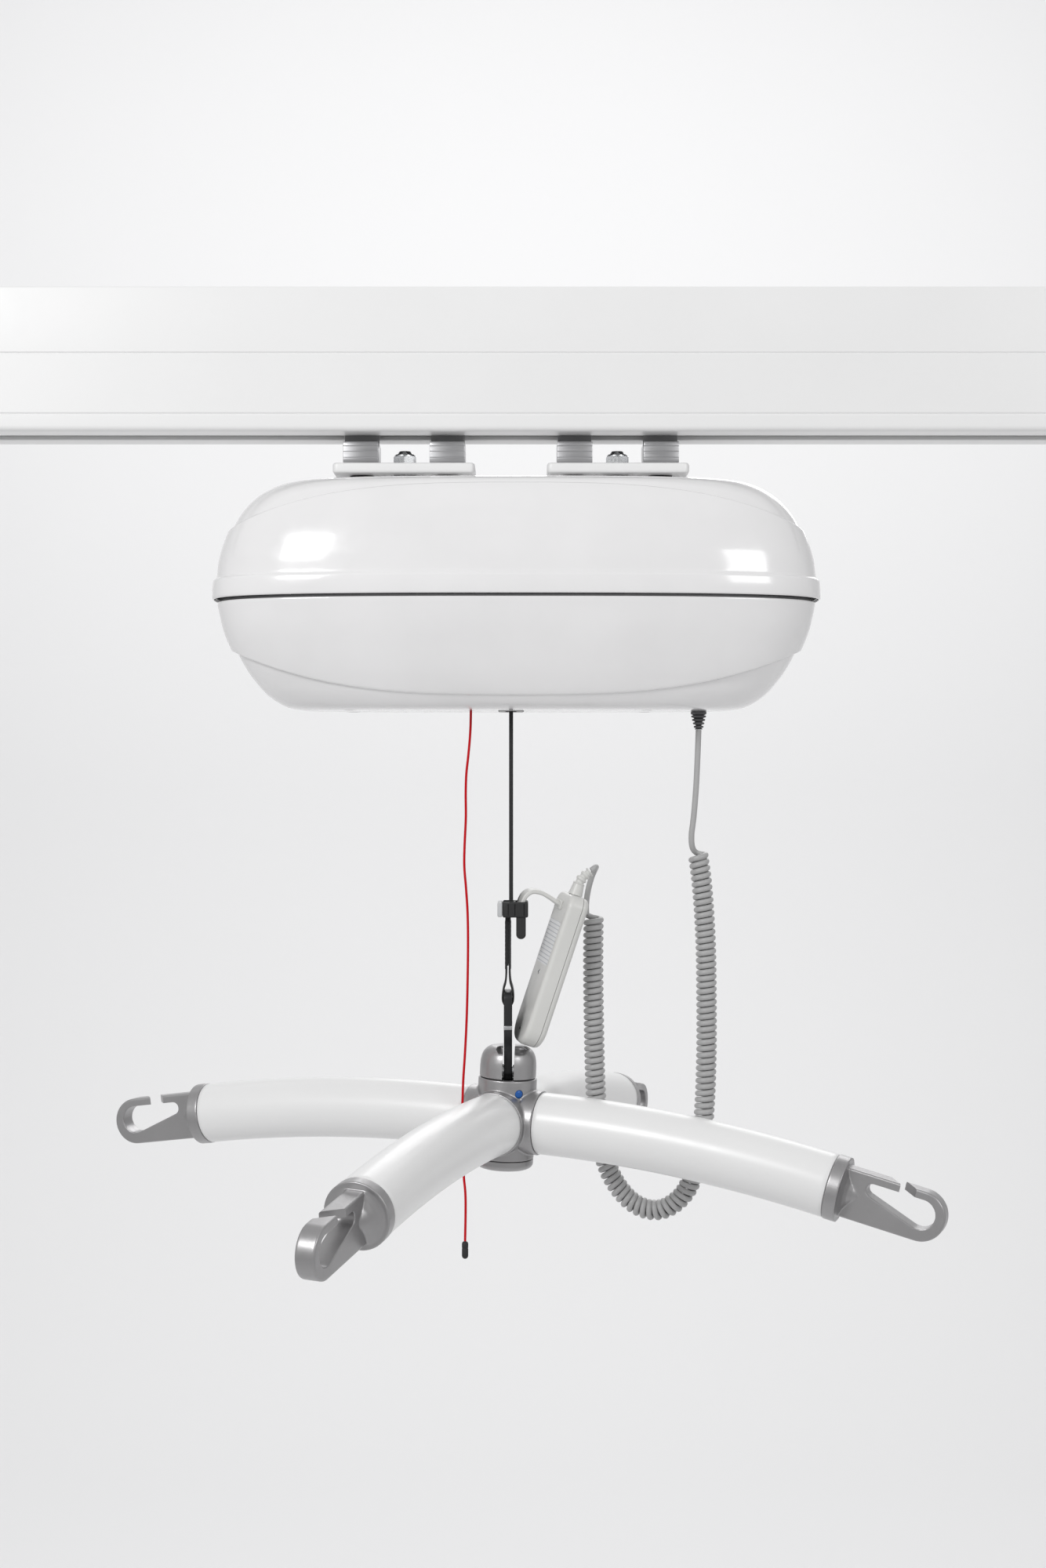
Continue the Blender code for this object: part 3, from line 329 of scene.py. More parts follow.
def new_object(name, mesh, material, place=None, smooth=35.0):
    """An object in the scene, shaded smooth up to an angle in degrees."""
    mesh.name = name
    obj = linked(name, mesh)
    mesh.materials.clear()
    mesh.materials.append(material)
    mesh.shade_smooth()
    mesh.set_sharp_from_angle(angle=math.radians(smooth))
    if place is not None:
        obj.matrix_world = place
    return obj


def settle(obj, body, slot, *nodes):
    """Hide the CAD nodes that a finished piece stands for and put it on the body it rides on. The slot
    is not used.
    """
    if nodes:
        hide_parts(*nodes)
    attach(obj, body)


def piece(name, mesh, material, body, *nodes, at=None, smooth=35.0, slot=None):
    """A rigid piece on a body. Its slot, its material's own or the one given, is passed on but not used.
    """
    obj = new_object(name, mesh, material, at, smooth)
    settle(obj, body, slot or SLOTS[material.name], *nodes)
    return obj


def bending(obj, slot, *nodes):
    """Hide the CAD nodes of a piece that bends between two bodies. The piece and its slot are not used.
    """
    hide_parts(*nodes)


def mesh_from(build):
    """A mesh from a function that fills a bmesh, its faces turned outward."""
    bm = bmesh.new()
    build(bm)
    bmesh.ops.recalc_face_normals(bm, faces=bm.faces)
    mesh = bpy.data.meshes.new("mesh")
    bm.to_mesh(mesh)
    bm.free()
    return mesh


def joined(*meshes):
    """One mesh from several."""
    def build(bm):
        for mesh in meshes:
            bm.from_mesh(mesh)
    return mesh_from(build)


def moved(mesh, matrix):
    mesh.transform(matrix)
    return mesh


def soft_box(low, high, bevel, segments=3):
    """A box with rounded edges."""
    size = [h - l for l, h in zip(low, high)]
    middle = [(h + l) / 2 for l, h in zip(low, high)]

    def build(bm):
        place = Matrix.Translation(middle) @ Matrix.Diagonal((*size, 1))
        bmesh.ops.create_cube(bm, size=1.0, matrix=place)
        if bevel:
            bmesh.ops.bevel(bm, geom=bm.edges[:], offset=bevel, segments=segments, profile=0.5,
                            affect="EDGES", clamp_overlap=True)
    return mesh_from(build)


def bridge(bm, rings, closed=False):
    """Faces between each ring of vertices and the next. A ring may be a single point."""
    for a, b in zip(rings, rings[1:] + (rings[:1] if closed else [])):
        sides = max(len(a), len(b))
        for k in range(sides):
            j = (k + 1) % sides
            corners = dict.fromkeys((a[k % len(a)], a[j % len(a)], b[j % len(b)], b[k % len(b)]))
            if len(corners) > 2:
                bm.faces.new(tuple(corners))


def cap_ends(bm, rings):
    bm.faces.new(rings[0][::-1])
    bm.faces.new(rings[-1])


def lathe(profile, sides=64, closed=False):
    """A mesh turned about Z from (radius, height) points."""
    def build(bm):
        rings = []
        for r, z in profile:
            around = [(r * math.cos(2 * math.pi * k / sides), r * math.sin(2 * math.pi * k / sides))
                      for k in range(sides)] if r > 1e-7 else [(0, 0)]
            rings.append([bm.verts.new((x, y, z)) for x, y in around])
        bridge(bm, rings, closed)
    return mesh_from(build)


def rod(start, end, radius, sides=48):
    start, end = Vector(start), Vector(end)
    facing = (end - start).to_track_quat("Z", "Y").to_matrix().to_4x4()
    return mesh_from(lambda bm: bmesh.ops.create_cone(
        bm, cap_ends=True, segments=sides, radius1=radius, radius2=radius,
        depth=(end - start).length, matrix=Matrix.Translation((start + end) / 2) @ facing))


def upright(x, y, heights, radius, sides=48):
    """A vertical rod between two heights."""
    return rod((x, y, heights[0]), (x, y, heights[1]), radius, sides)


def prism(outline, thickness, bevel=0.0, segments=3):
    """An (X, Y) outline extruded about the XY plane, its face edges rounded."""
    def build(bm):
        verts = [bm.verts.new((x, y, -thickness / 2)) for x, y in outline]
        face = bm.faces.new(verts)
        made = bmesh.ops.extrude_face_region(bm, geom=[face])
        top = [v for v in made["geom"] if isinstance(v, bmesh.types.BMVert)]
        bmesh.ops.translate(bm, verts=top, vec=(0, 0, thickness))
        if bevel:
            flat = [e for e in bm.edges if abs(e.verts[0].co.z - e.verts[1].co.z) < 1e-7]
            bmesh.ops.bevel(bm, geom=flat, offset=bevel, segments=segments, profile=0.5,
                            affect="EDGES", clamp_overlap=False)
    return mesh_from(build)


def arc(centre, radius, start, end, steps):
    """Points of an arc between two angles in degrees, both ends included."""
    found = []
    for i in range(steps + 1):
        angle = math.radians(start + (end - start) * i / steps)
        found.append((centre[0] + radius * math.cos(angle), centre[1] + radius * math.sin(angle)))
    return found


def rounded(low, high, radius, steps=8, lower_radius=None):
    """The outline of a rectangle with round corners."""
    low_r = radius if lower_radius is None else lower_radius
    outline = arc((high[0] - radius, high[1] - radius), radius, 0, 90, steps)
    outline += arc((low[0] + radius, high[1] - radius), radius, 90, 180, steps)
    outline += arc((low[0] + low_r, low[1] + low_r), low_r, 180, 270, steps)
    return outline + arc((high[0] - low_r, low[1] + low_r), low_r, 270, 360, steps)


def round_slot(first, first_radius, second, second_radius, steps=20):
    """The outline around two circles and the tangents between them."""
    dx, dy = second[0] - first[0], second[1] - first[1]
    heading = math.degrees(math.atan2(dy, dx))
    lean = math.degrees(math.acos((first_radius - second_radius) / math.hypot(dx, dy)))
    outline = arc(first, first_radius, heading + lean, heading + 360 - lean, steps)
    return outline + arc(second, second_radius, heading - lean, heading + lean, steps)


def modified(mesh, *steps):
    """A new mesh: the given one after modifiers, each a type and its settings."""
    obj = linked("helper", mesh)
    for kind, settings in steps:
        step = obj.modifiers.new(kind.lower(), kind)
        for name, value in settings.items():
            setattr(step, name, value)
    bpy.context.view_layer.update()
    graph = bpy.context.evaluated_depsgraph_get()
    made = bpy.data.meshes.new_from_object(obj.evaluated_get(graph))
    bpy.data.objects.remove(obj, do_unlink=True)
    return made


def carve(mesh, operation, *tools):
    """The mesh after Booleans with other meshes, all in the same place."""
    others = [linked("helper", tool) for tool in tools]
    made = modified(mesh, *(("BOOLEAN", {"operation": operation, "object": other, "solver": "EXACT"})
                            for other in others))
    for other in others:
        bpy.data.objects.remove(other, do_unlink=True)
    return made


def softened(mesh, smoothing, keep):
    """The mesh with inner corners filleted and edges rounded: remeshed, smoothed and thinned."""
    return modified(mesh, ("REMESH", {"mode": "VOXEL", "voxel_size": VOXEL}),
                    ("SMOOTH", {"factor": 0.5, "iterations": smoothing}), ("DECIMATE", {"ratio": keep}))


FACING_X = Matrix(((0, 0, 1, 0), (1, 0, 0, 0), (0, 1, 0, 0), (0, 0, 0, 1)))     # (Y, Z) outline
FACING_Y = Matrix(((1, 0, 0, 0), (0, 0, -1, 0), (0, 1, 0, 0), (0, 0, 0, 1)))    # (X, Z) outline
ALONG_Y = Matrix(((1, 0, 0, 0), (0, 0, 1, 0), (0, -1, 0, 0), (0, 0, 0, 1)))     # Z axis along +Y


def smooth_route(route, spacing):
    """Points read at an even spacing from a smooth curve through the route's own points."""
    knots = [Vector(p) for p in route]
    knots = [2 * knots[0] - knots[1]] + knots + [2 * knots[-1] - knots[-2]]
    fine = []
    for a, b, c, d in zip(knots, knots[1:], knots[2:], knots[3:]):
        for step in range(24):
            t = step / 24
            fine.append(0.5 * (2 * b + (c - a) * t + (2 * a - 5 * b + 4 * c - d) * t ** 2
                               + (3 * b - a - 3 * c + d) * t ** 3))
    fine.append(knots[-2])
    lengths = [0.0]
    for a, b in zip(fine, fine[1:]):
        lengths.append(lengths[-1] + (b - a).length)
    count = max(2, round(lengths[-1] / spacing))
    found, at = [], 0
    for step in range(count + 1):
        goal = lengths[-1] * step / count
        while at < len(fine) - 2 and lengths[at + 1] < goal:
            at += 1
        share = (goal - lengths[at]) / (lengths[at + 1] - lengths[at])
        found.append(fine[at].lerp(fine[at + 1], share))
    return found


def smooth_line(points, spacing):
    """The same for (X, Z) points."""
    return [(p.x, p.z) for p in smooth_route([(x, 0, z) for x, z in points], spacing)]


def frames_along(points):
    """(tangent, side, up) at each point, turning as little as possible along the way."""
    found, side = [], None
    for i, here in enumerate(points):
        tangent = (points[min(i + 1, len(points) - 1)] - points[max(i - 1, 0)]).normalized()
        if side is None:
            side = Vector((-1, 0, 0)) if abs(tangent.x) < 0.9 else Vector((0, 1, 0))
        side = (side - tangent * side.dot(tangent)).normalized()
        found.append((tangent, side.copy(), tangent.cross(side)))
    return found


def ring_around(bm, here, frame_there, radius, sides):
    """A ring of vertices around a point of a path."""
    _, side, up = frame_there
    return [bm.verts.new(here + radius * (math.cos(2 * math.pi * k / sides) * side
                                          + math.sin(2 * math.pi * k / sides) * up))
            for k in range(sides)]


def tube(points, radius, sides, radii=None):
    """A closed round tube along points. Its vertices are rings of sides points, in order."""
    points = [Vector(p) for p in points]

    def build(bm):
        rings = [ring_around(bm, here, there, radius * (radii[i] if radii else 1.0), sides)
                 for i, (here, there) in enumerate(zip(points, frames_along(points)))]
        bridge(bm, rings)
        cap_ends(bm, rings)
    return mesh_from(build)


def route_length(points):
    return sum((b - a).length for a, b in zip(points, points[1:]))


def band_mesh(points, width, thickness, across=9, edge=0.0004):
    """A flat strip along (X, Z) points: width along Y, with rounded edges. Rings are in order."""
    points = [Vector((x, 0, z)) for x, z in points]
    half, t = width / 2, thickness / 2
    ring = [(-half, -t + edge), (-half + edge, -t)]
    ring += [(-half + edge + (width - 2 * edge) * k / across, -t) for k in range(1, across)]
    ring += [(half - edge, -t), (half, -t + edge), (half, t - edge), (half - edge, t)]
    ring += [(half - edge - (width - 2 * edge) * k / across, t) for k in range(1, across)]
    ring += [(-half + edge, t), (-half, t - edge)]

    def build(bm):
        rings = []
        for i, here in enumerate(points):
            tangent = (points[min(i + 1, len(points) - 1)] - points[max(i - 1, 0)]).normalized()
            side = tangent.cross(Vector((0, 1, 0)))
            rings.append([bm.verts.new(here + Vector((0, y, 0)) + side * s) for y, s in ring])
        bridge(bm, rings)
        cap_ends(bm, rings)
    return mesh_from(build)


# ---------------------------------------------------------------- camera, stage and light

def make_camera():
    data = bpy.data.cameras.new("camera")
    data.lens = LENS
    data.sensor_width = 36.0
    camera = linked("camera", data)
    camera.location = CAMERA
    camera.rotation_euler = (math.pi / 2, 0, 0)
    bpy.context.scene.camera = camera


def make_stage():
    """A pale floor that bends up into the back wall."""
    pale = Surface("stage", (0.78, 0.78, 0.785), 0.85)
    pale.gloss(pale.noise(3, 2), 0.05)
    floor_z, front, back, bend, top, half_width = -2.4, -16.0, 6.5, 2.0, 7.0, 18.0
    profile = [(front, floor_z), (back - bend, floor_z)]
    profile += arc((back - bend, floor_z + bend), bend, -90, 0, 16)[1:] + [(back, top)]

    def build(bm):
        rows = [[bm.verts.new((x, y, z)) for y, z in profile] for x in (-half_width, half_width)]
        for k in range(len(profile) - 1):
            bm.faces.new((rows[0][k], rows[1][k], rows[1][k + 1], rows[0][k + 1]))
    new_object("backdrop", mesh_from(build), pale.material)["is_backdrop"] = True


def area_light(name, location, target, size, power):
    data = bpy.data.lights.new(name, "AREA")
    data.shape = "RECTANGLE"
    data.size, data.size_y = size
    data.energy = power
    light = linked(name, data)
    light.location = location
    light.rotation_euler = (Vector(target) - Vector(location)).to_track_quat("-Z", "Y").to_euler()


def make_light():
    world = bpy.data.worlds.new("studio")
    world.use_nodes = True
    background = world.node_tree.nodes["Background"].inputs
    background["Color"].default_value = (1.0, 1.0, 1.0, 1.0)
    background["Strength"].default_value = 0.56
    bpy.context.scene.world = world
    middle = (0.0, 0.0, -0.4)
    area_light("key", (-1.4, -2.0, 0.75), middle, (0.7, 0.7), 25)
    area_light("fill", (1.7, -1.9, 0.5), middle, (0.9, 0.6), 10)
    area_light("rim", (0.4, 1.9, 0.7), middle, (1.6, 1.0), 10)
    area_light("backdrop_light", (0.0, 2.4, 2.6), (0, 6.5, -0.6), (6.0, 1.5), 160)
    bpy.context.scene.view_settings.view_transform = "Standard"


# ---------------------------------------------------------------- cords

def make_curly_cord():
    """The coiled control cord, from the casing's gland to the hand control."""
    tail = smooth_route(TAIL_TOP, 0.004)
    axis = smooth_route(COIL_ROUTE, 0.0006)
    frames = frames_along(axis)
    length, radius = route_length(axis), COIL_RADIUS - WIRE_RADIUS
    _, side, up = frames[-1]
    goal = Vector((-1, 0, 0))
    last = math.atan2(goal.dot(up), goal.dot(side))
    turns = round(length / COIL_PITCH) + last / (2 * math.pi)
    steps = round(turns * TURN_STEPS)
    coil = []
    for step in range(steps + 1):
        share = step / steps
        place = share * (len(axis) - 1)
        at = min(int(place), len(axis) - 2)
        here = axis[at].lerp(axis[at + 1], place - at)
        _, side, up = frames[at]
        angle = 2 * math.pi * turns * share
        coil.append(here + radius * (math.cos(angle) * side + math.sin(angle) * up))
    start = Vector(TAIL_END[0])
    path = tail + coil[3:-3] + [start - Vector((0, 0, 0.0012)), start]
    for _ in range(8):                       # ease the wire into and out of the coil
        for i in (*range(len(tail) - 4, len(tail) + 6), *range(len(path) - 6, len(path) - 1)):
            path[i] = (path[i - 1] + 2 * path[i] + path[i + 1]) / 4
    upper = new_object("curly_cord_piece", tube(path, WIRE_RADIUS, WIRE_SIDES), CORD_GREY, smooth=60)
    bending(upper, "cord_grey", "cord_tail_upper", "curly_cord")
    lowest = min(range(len(path)), key=lambda i: path[i].z)
    top_z, low_z = path[0].z, path[lowest].z
    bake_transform(upper)
    weights = []
    for i, here in enumerate(path):
        share = min(1.0, (top_z - here.z) / (top_z - low_z)) if i < lowest else 1.0
        weights += [share] * WIRE_SIDES

    path = smooth_route(TAIL_END, 0.0016)
    lower = new_object("handset_cord_piece", tube(path, WIRE_RADIUS, WIRE_SIDES), CORD_GREY, smooth=60)
    bending(lower, "cord_grey", "cord_tail_handset")
    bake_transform(lower)


def make_emergency_cord():
    """The red cord of the emergency lowering, with the grip at its end."""
    x, y, top = RED_ROUTE[-1]
    radius, low = 0.0026, -0.7825
    profile = [(0, top - 0.0003), (0.0012, top - 0.0003), (0.0021, top - 0.0008),
               (radius, top - 0.0020), (radius, top - 0.0052), (radius * 0.90, top - 0.0058),
               (radius, top - 0.0064)]
    profile += arc((0, low + radius), radius, 0, -75, 5) + [(0, low)]
    grip = piece("grip_piece", lathe(profile, 32), RUBBER, "emergency_release", "emergency_cord_grip",
                 at=shift(x, y, 0))
    path = smooth_route(RED_ROUTE, 0.003)
    cord = new_object("emergency_cord_piece", tube(path, RED_RADIUS, 10), RED_BRAID, smooth=60)
    settle(cord, "emergency_release", "red_plastic", "emergency_cord")


# ---------------------------------------------------------------- rail and trolleys

def rail_outline():
    """The rail's section in (Y, Z), with its edges rounded and a soft groove at each line."""
    half, height = RAIL_SIZE[1] / 2, RAIL_SIZE[2]
    inner, lip, slot, roof = half - RAIL_WALL, -height + 0.004, 0.012, -0.0547
    right = arc((half - 0.0012, -0.0012), 0.0012, 90, 0, 4)
    for z in RAIL_GROOVES:
        right += [(half, z + 0.0011), (half - 0.0003, z + 0.0007), (half - 0.0009, z + 0.0001),
                  (half - 0.0009, z - 0.0001), (half - 0.0003, z - 0.0007), (half, z - 0.0011)]
    right += arc((half - 0.0040, -height + 0.0040), 0.0040, 0, -90, 8)
    right += arc((slot + 0.0008, -height + 0.0008), 0.0008, -90, -180, 3)
    right += arc((slot + 0.0008, lip - 0.0008), 0.0008, 180, 90, 3)
    right += [(inner, lip), (inner, roof)]
    return right + [(-y, z) for y, z in reversed(right)]


def make_rail():
    inner = RAIL_SIZE[1] / 2 - RAIL_WALL
    body = moved(prism(rail_outline(), RAIL_SIZE[0]), FACING_X)
    chamber = soft_box((-RAIL_SIZE[0], -inner, -0.0517), (RAIL_SIZE[0], inner, -RAIL_WALL), 0)
    piece("rail_piece", carve(body, "DIFFERENCE", chamber), WHITE, "track", "rail")
    make_end_cap("rail_end_cap_left")
    make_end_cap("rail_end_cap_right")


def make_end_cap(name):
    """A cap on the rail with its four screws and the stop that the wheels reach."""
    low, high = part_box(name)
    side = 1 if low[0] > 0 else -1
    face = high[0] if side > 0 else low[0]
    half, thick = RAIL_SIZE[1] / 2, 0.004
    outline = rounded((-half, -RAIL_SIZE[2]), (half, 0.0), 0.0025, 4, 0.0040)
    plate = moved(prism(outline, thick, 0.0005), shift(face - side * thick / 2, 0, 0) @ FACING_X)
    ends = (face - side * 0.0163, face - side * 0.0035)
    stop = soft_box((min(ends), -0.032, -0.1100), (max(ends), 0.032, -0.0570), 0.002)
    heads = [moved(screw_head(0.0035), shift(face, y, z) @ rotate(side * 90, "Y") @ shift(0, 0, -0.0012))
             for z in (-0.009, -0.046) for y in (-0.03, 0.03)]
    piece(name + "_piece", joined(plate, stop), GREY_PLASTIC, "track", name)
    piece(name + "_screws", joined(*heads), ZINC, "track")


def screw_head(radius):
    """A low domed screw head with a hexagon socket, on the XY plane."""
    profile = [(0, 0), (radius, 0), (radius, radius * 0.20)]
    profile += [(radius * math.cos(math.radians(a)), radius * (0.20 + 0.30 * math.sin(math.radians(a))))
                for a in range(20, 81, 20)] + [(0, radius * 0.5)]
    socket = rod((0, 0, radius * 0.12), (0, 0, radius), radius * 0.5, sides=6)
    return carve(lathe(profile, 32), "DIFFERENCE", socket)


def hex_nut(radius, low, high):
    """A chamfered hexagon nut between two heights, its corners cut back by a cone."""
    body = rod((0, 0, low), (0, 0, high), radius, sides=6)
    cut, deep = radius * 0.90, (high - low) * 0.13
    cone = lathe([(0, low), (cut, low), (radius * 1.02, low + deep), (radius * 1.02, high - deep),
                  (cut, high), (0, high)], 64)
    return carve(body, "INTERSECT", cone)


def threaded(radius, low, high, pitch=0.00175):
    """A stud with the ridges of a thread."""
    profile, z = [(0, low), (radius * 0.8, low), (radius * 0.93, low + 0.0006)], low + 0.0006
    while z + pitch < high - 0.0006:
        profile += [(radius, z + pitch * 0.35), (radius * 0.92, z + pitch * 0.95)]
        z += pitch
    profile += [(radius * 0.8, high), (0, high)]
    return lathe(profile, 40)


def make_trolleys():
    """The two plates with the studs that hang the casing, and the four sets of wheels."""
    washer = [(0.0062, -0.1314), (0.0086, -0.1314), (0.0086, -0.1302), (0.0078, -0.1294),
              (0.0062, -0.1294)]
    nuts = ((-0.1382, -0.1312), (-0.1507, -0.1472), (-0.1698, -0.1613))
    for side, x in TROLLEYS:
        outline = rounded((x - 0.0575, -0.0225), (x + 0.0575, 0.0225), 0.0045, 8)
        plate = moved(prism(outline, 0.0084, 0.0022, 4), shift(0, 0, -0.1427))
        plate = carve(plate, "DIFFERENCE", upright(x, 0, (-0.16, -0.13), 0.0064))
        piece("trolley_plate_%s_piece" % side, plate, WHITE, "hoist", "trolley_plate_" + side)
        parts = [threaded(0.006, -0.1740, -0.1268), *(hex_nut(0.0104, *ends) for ends in nuts)]
        piece("suspension_stud_%s_piece" % side, joined(*parts, lathe(washer, 40, True)), ZINC, "hoist",
              "suspension_stud_" + side, at=shift(x, 0, 0))
    for name, x in AXLES:
        make_axle_set(name, x)


def make_axle_set(name, x):
    """A block on the plate, its neck up through the slot in a dark grey that paints the slot's shade,
    its bolt and its two wheels.
    """
    block = soft_box((x - 0.01425, -0.018, -0.1382), (x + 0.01425, 0.018, -0.1208), 0.0006, 2)
    grooves = [soft_box((x - 0.02, y - 0.0004, z - 0.00035), (x + 0.02, y + 0.0004, z + 0.00035), 0)
               for y in (-0.0181, 0.0181) for z in (-0.1246, -0.1290, -0.1338)]
    piece("trolley_block_%s_piece" % name, carve(block, "DIFFERENCE", *grooves), ALUMINIUM, "hoist",
          "trolley_block_" + name)
    # The neck's dark grey is painted shade: it stands for the shade inside the rail's slot.
    neck = soft_box((x - 0.0135, -0.010, -0.1210), (x + 0.0135, 0.010, -0.0790), 0.0010)
    neck = carve(neck, "DIFFERENCE", rod((x, -0.03, AXLE_Z), (x, 0.03, AXLE_Z), 0.0053))
    piece("trolley_neck_" + name, neck, PAINTED_SHADE_GREY, "hoist")
    head = hex_nut(0.0088, -0.1512, -0.1472)
    washer = [(0.0056, -0.1470), (0.0100, -0.1470), (0.0100, -0.1480), (0.0056, -0.1480)]
    piece("trolley_bolt_" + name, joined(head, lathe(washer, 40, True)), BLACK_OXIDE, "hoist",
          at=shift(x, 0, 0))
    half = [(0.0, 0.031), (0.0038, 0.031), (0.0050, 0.0302), (0.0050, 0.0272), (0.0085, 0.0272),
            (0.0100, 0.0260), (0.0170, 0.0260), (0.0190, 0.0285), (0.0214, 0.0285), (0.0226, 0.0280),
            (0.0230, 0.0268), (0.0230, 0.0162), (0.0226, 0.0150), (0.0214, 0.0145), (0.0055, 0.0145),
            (0.0050, 0.0140)]
    wheels = lathe(half + [(r, -y) for r, y in reversed(half)], 64)
    piece("wheelset_%s_piece" % name, wheels, BLACK_PLASTIC, "wheelset_" + name,
          "wheelset_" + name, at=shift(x, 0, AXLE_Z) @ ALONG_Y)


# ---------------------------------------------------------------- casing

TOP_PROFILE = ((-0.2318, 0.2431), (-0.2150, 0.2408), (-0.1951, 0.2343), (-0.1785, 0.2252),
               (-0.1650, 0.2120), (-0.1560, 0.1950), (-0.1525, 0.1780), (-0.1518, 0.1650))
BAND_PROFILE = ((-0.2492, 0.2452), (-0.2490, 0.2460), (-0.2484, 0.2465), (-0.2476, 0.2467),
                (-0.2420, 0.2466), (-0.2352, 0.2462), (-0.2342, 0.2459), (-0.2335, 0.2452),
                (-0.2330, 0.2443), (-0.2325, 0.2435))
RIM_PROFILE = ((-0.2514, 0.2414), (-0.2515, 0.2420), (-0.2520, 0.2424), (-0.2530, 0.2424))
BOTTOM_PROFILE = ((-0.2540, 0.2423), (-0.2745, 0.2375), (-0.2924, 0.2300), (-0.3050, 0.2232),
                  (-0.3142, 0.2167), (-0.3257, 0.2064), (-0.3346, 0.1930), (-0.3378, 0.1802),
                  (-0.3385, 0.1680))
CREASE_LOW = (-0.3275, 0.0357, 0.228)       # its height in the middle, its rise, and where
CREASE_HIGH = (-0.1600, -0.0350, 0.234)
CASE_COLUMNS, OUTER_ROWS, INNER_ROWS = 192, 34, 30
COVER_SCREWS = ((-0.13, -0.024), (-0.13, 0.024), (0.11, -0.024), (0.11, 0.024))


def crease_height(crease, x):
    """The height of a crease, which rises or falls toward the casing's ends."""
    middle, rise, reach = crease
    return middle + rise * (abs(x - CASE_X) / reach) ** 3


def case_point(half_length, angle, inset=0.0):
    """A point of the casing's plan at a half length, moved in by inset."""
    half_depth = CASE_DEPTH - (CASE_LENGTH - half_length) * CASE_FOLLOW - inset
    c, s = math.cos(angle), math.sin(angle)
    return (CASE_X + (half_length - inset) * math.copysign(abs(c) ** (2 / CASE_POWER), c),
            half_depth * math.copysign(abs(s) ** (2 / CASE_POWER), s))


def case_column(rim, profile, crease, angle, depths):
    """The points up or down one side of a cover, with a step where it meets its crease."""
    fine = smooth_route([(a, 0, z) for z, a in profile], 0.0004)
    end = len(fine) - 1
    meet = end
    for i, p in enumerate(fine):
        x, _ = case_point(p.x, angle)
        if (p.z - crease_height(crease, x)) * (1 if crease is CREASE_HIGH else -1) > 0:
            meet = i
            break
    meet = max(6, min(meet, end - 6))
    x, _ = case_point(fine[meet].x, angle)
    share = (abs(x - CASE_X) / CASE_LENGTH) ** 2
    depth = depths[0] + (depths[1] - depths[0]) * share
    step = 2
    rows = [(fine[round((meet - step) * i / OUTER_ROWS)], 0.0) for i in range(OUTER_ROWS + 1)]
    rows += [(fine[meet - 1], depth * 0.12), (fine[meet], depth * 0.5), (fine[meet + 1], depth * 0.88)]
    rows += [(fine[round(meet + step + (end - meet - step) * i / INNER_ROWS)], depth)
             for i in range(INNER_ROWS + 1)]
    column = [(*case_point(a, angle), z) for z, a in rim]
    return column + [(*case_point(p.x, angle, inset), p.z) for p, inset in rows]


def cover_mesh(rim, profile, crease, depths):
    """A hollow cover: columns down its side, rings over its flat face, and a wall's thickness."""
    def build(bm):
        columns = []
        for k in range(CASE_COLUMNS):
            angle = 2 * math.pi * (k + 0.5) / CASE_COLUMNS
            columns.append([bm.verts.new(p) for p in case_column(rim, profile, crease, angle, depths)])
        for k, a in enumerate(columns):
            b = columns[(k + 1) % CASE_COLUMNS]
            for i in range(len(a) - 1):
                bm.faces.new((a[i], b[i], b[i + 1], a[i + 1]))
        rings = [[c[-1] for c in columns]]
        for scale in (0.97, 0.85, 0.6, 0.3):
            rings.append([bm.verts.new((CASE_X + (v.co.x - CASE_X) * scale, v.co.y * scale, v.co.z))
                          for v in rings[0]])
        bridge(bm, rings)
        bm.faces.new(rings[-1])
    return modified(mesh_from(build), ("SOLIDIFY", {"thickness": CASE_WALL, "offset": -1.0}))


def seal_mesh():
    """The strip between the covers, all the way round."""
    def build(bm):
        section = ((0.2395, -0.2494), (0.2402, -0.2503), (0.2395, -0.2512), (0.2365, -0.2512),
                   (0.2365, -0.2494))
        bridge(bm, [[bm.verts.new((*case_point(half, 2 * math.pi * k / CASE_COLUMNS), z))
                     for k in range(CASE_COLUMNS)] for half, z in section], closed=True)
    return mesh_from(build)


def make_casing():
    """The two covers with their holes, the seal and the screws in their cups."""
    top = cover_mesh(BAND_PROFILE, TOP_PROFILE, CREASE_HIGH, (0.0006, 0.0030))
    holes = [upright(x, 0, (-0.17, -0.13), 0.0124, 64) for _, x in TROLLEYS]
    piece("top_cover_piece", carve(top, "DIFFERENCE", *holes), SHELL, "hoist", "top_cover", smooth=50)
    bottom = cover_mesh(RIM_PROFILE, BOTTOM_PROFILE, CREASE_LOW, (0.0016, 0.0044))
    x, y, _ = RED_ROUTE[0]
    low, high = THROUGH_BOTTOM
    tools = [upright(x, y, THROUGH_BOTTOM, 0.0025), upright(TAIL_TOP[0][0], 0, THROUGH_BOTTOM, 0.0056),
             soft_box((-0.0103, -0.0213, low), (0.0103, 0.0213, high), 0.002),
             *(upright(px, py, THROUGH_BOTTOM, 0.0050) for px, py in COVER_SCREWS)]
    piece("bottom_cover_piece", carve(bottom, "DIFFERENCE", *tools), SHELL, "hoist", "bottom_cover",
          smooth=50)
    # The seal's grey is painted shade: it stands for the shadow line along the seam between the covers.
    piece("casing_seal_piece", seal_mesh(), PAINTED_SHADE_GREY, "hoist", "casing_seal")
    make_outlets()
    cup = [(0, -0.3348), (0.0048, -0.3348), (0.0048, -0.3383), (0.0041, -0.3383), (0.0041, SCREW_SEAT),
           (0, SCREW_SEAT)]
    for i, (px, py) in enumerate(COVER_SCREWS):
        name = "cover_screw_%d" % (i + 1)
        piece(name + "_cup", lathe(cup, 40), SHELL, "hoist", at=shift(px, py, 0))
        piece(name, screw_head(0.0034), ZINC, "hoist", at=shift(px, py, SCREW_SEAT) @ rotate(180, "X"))


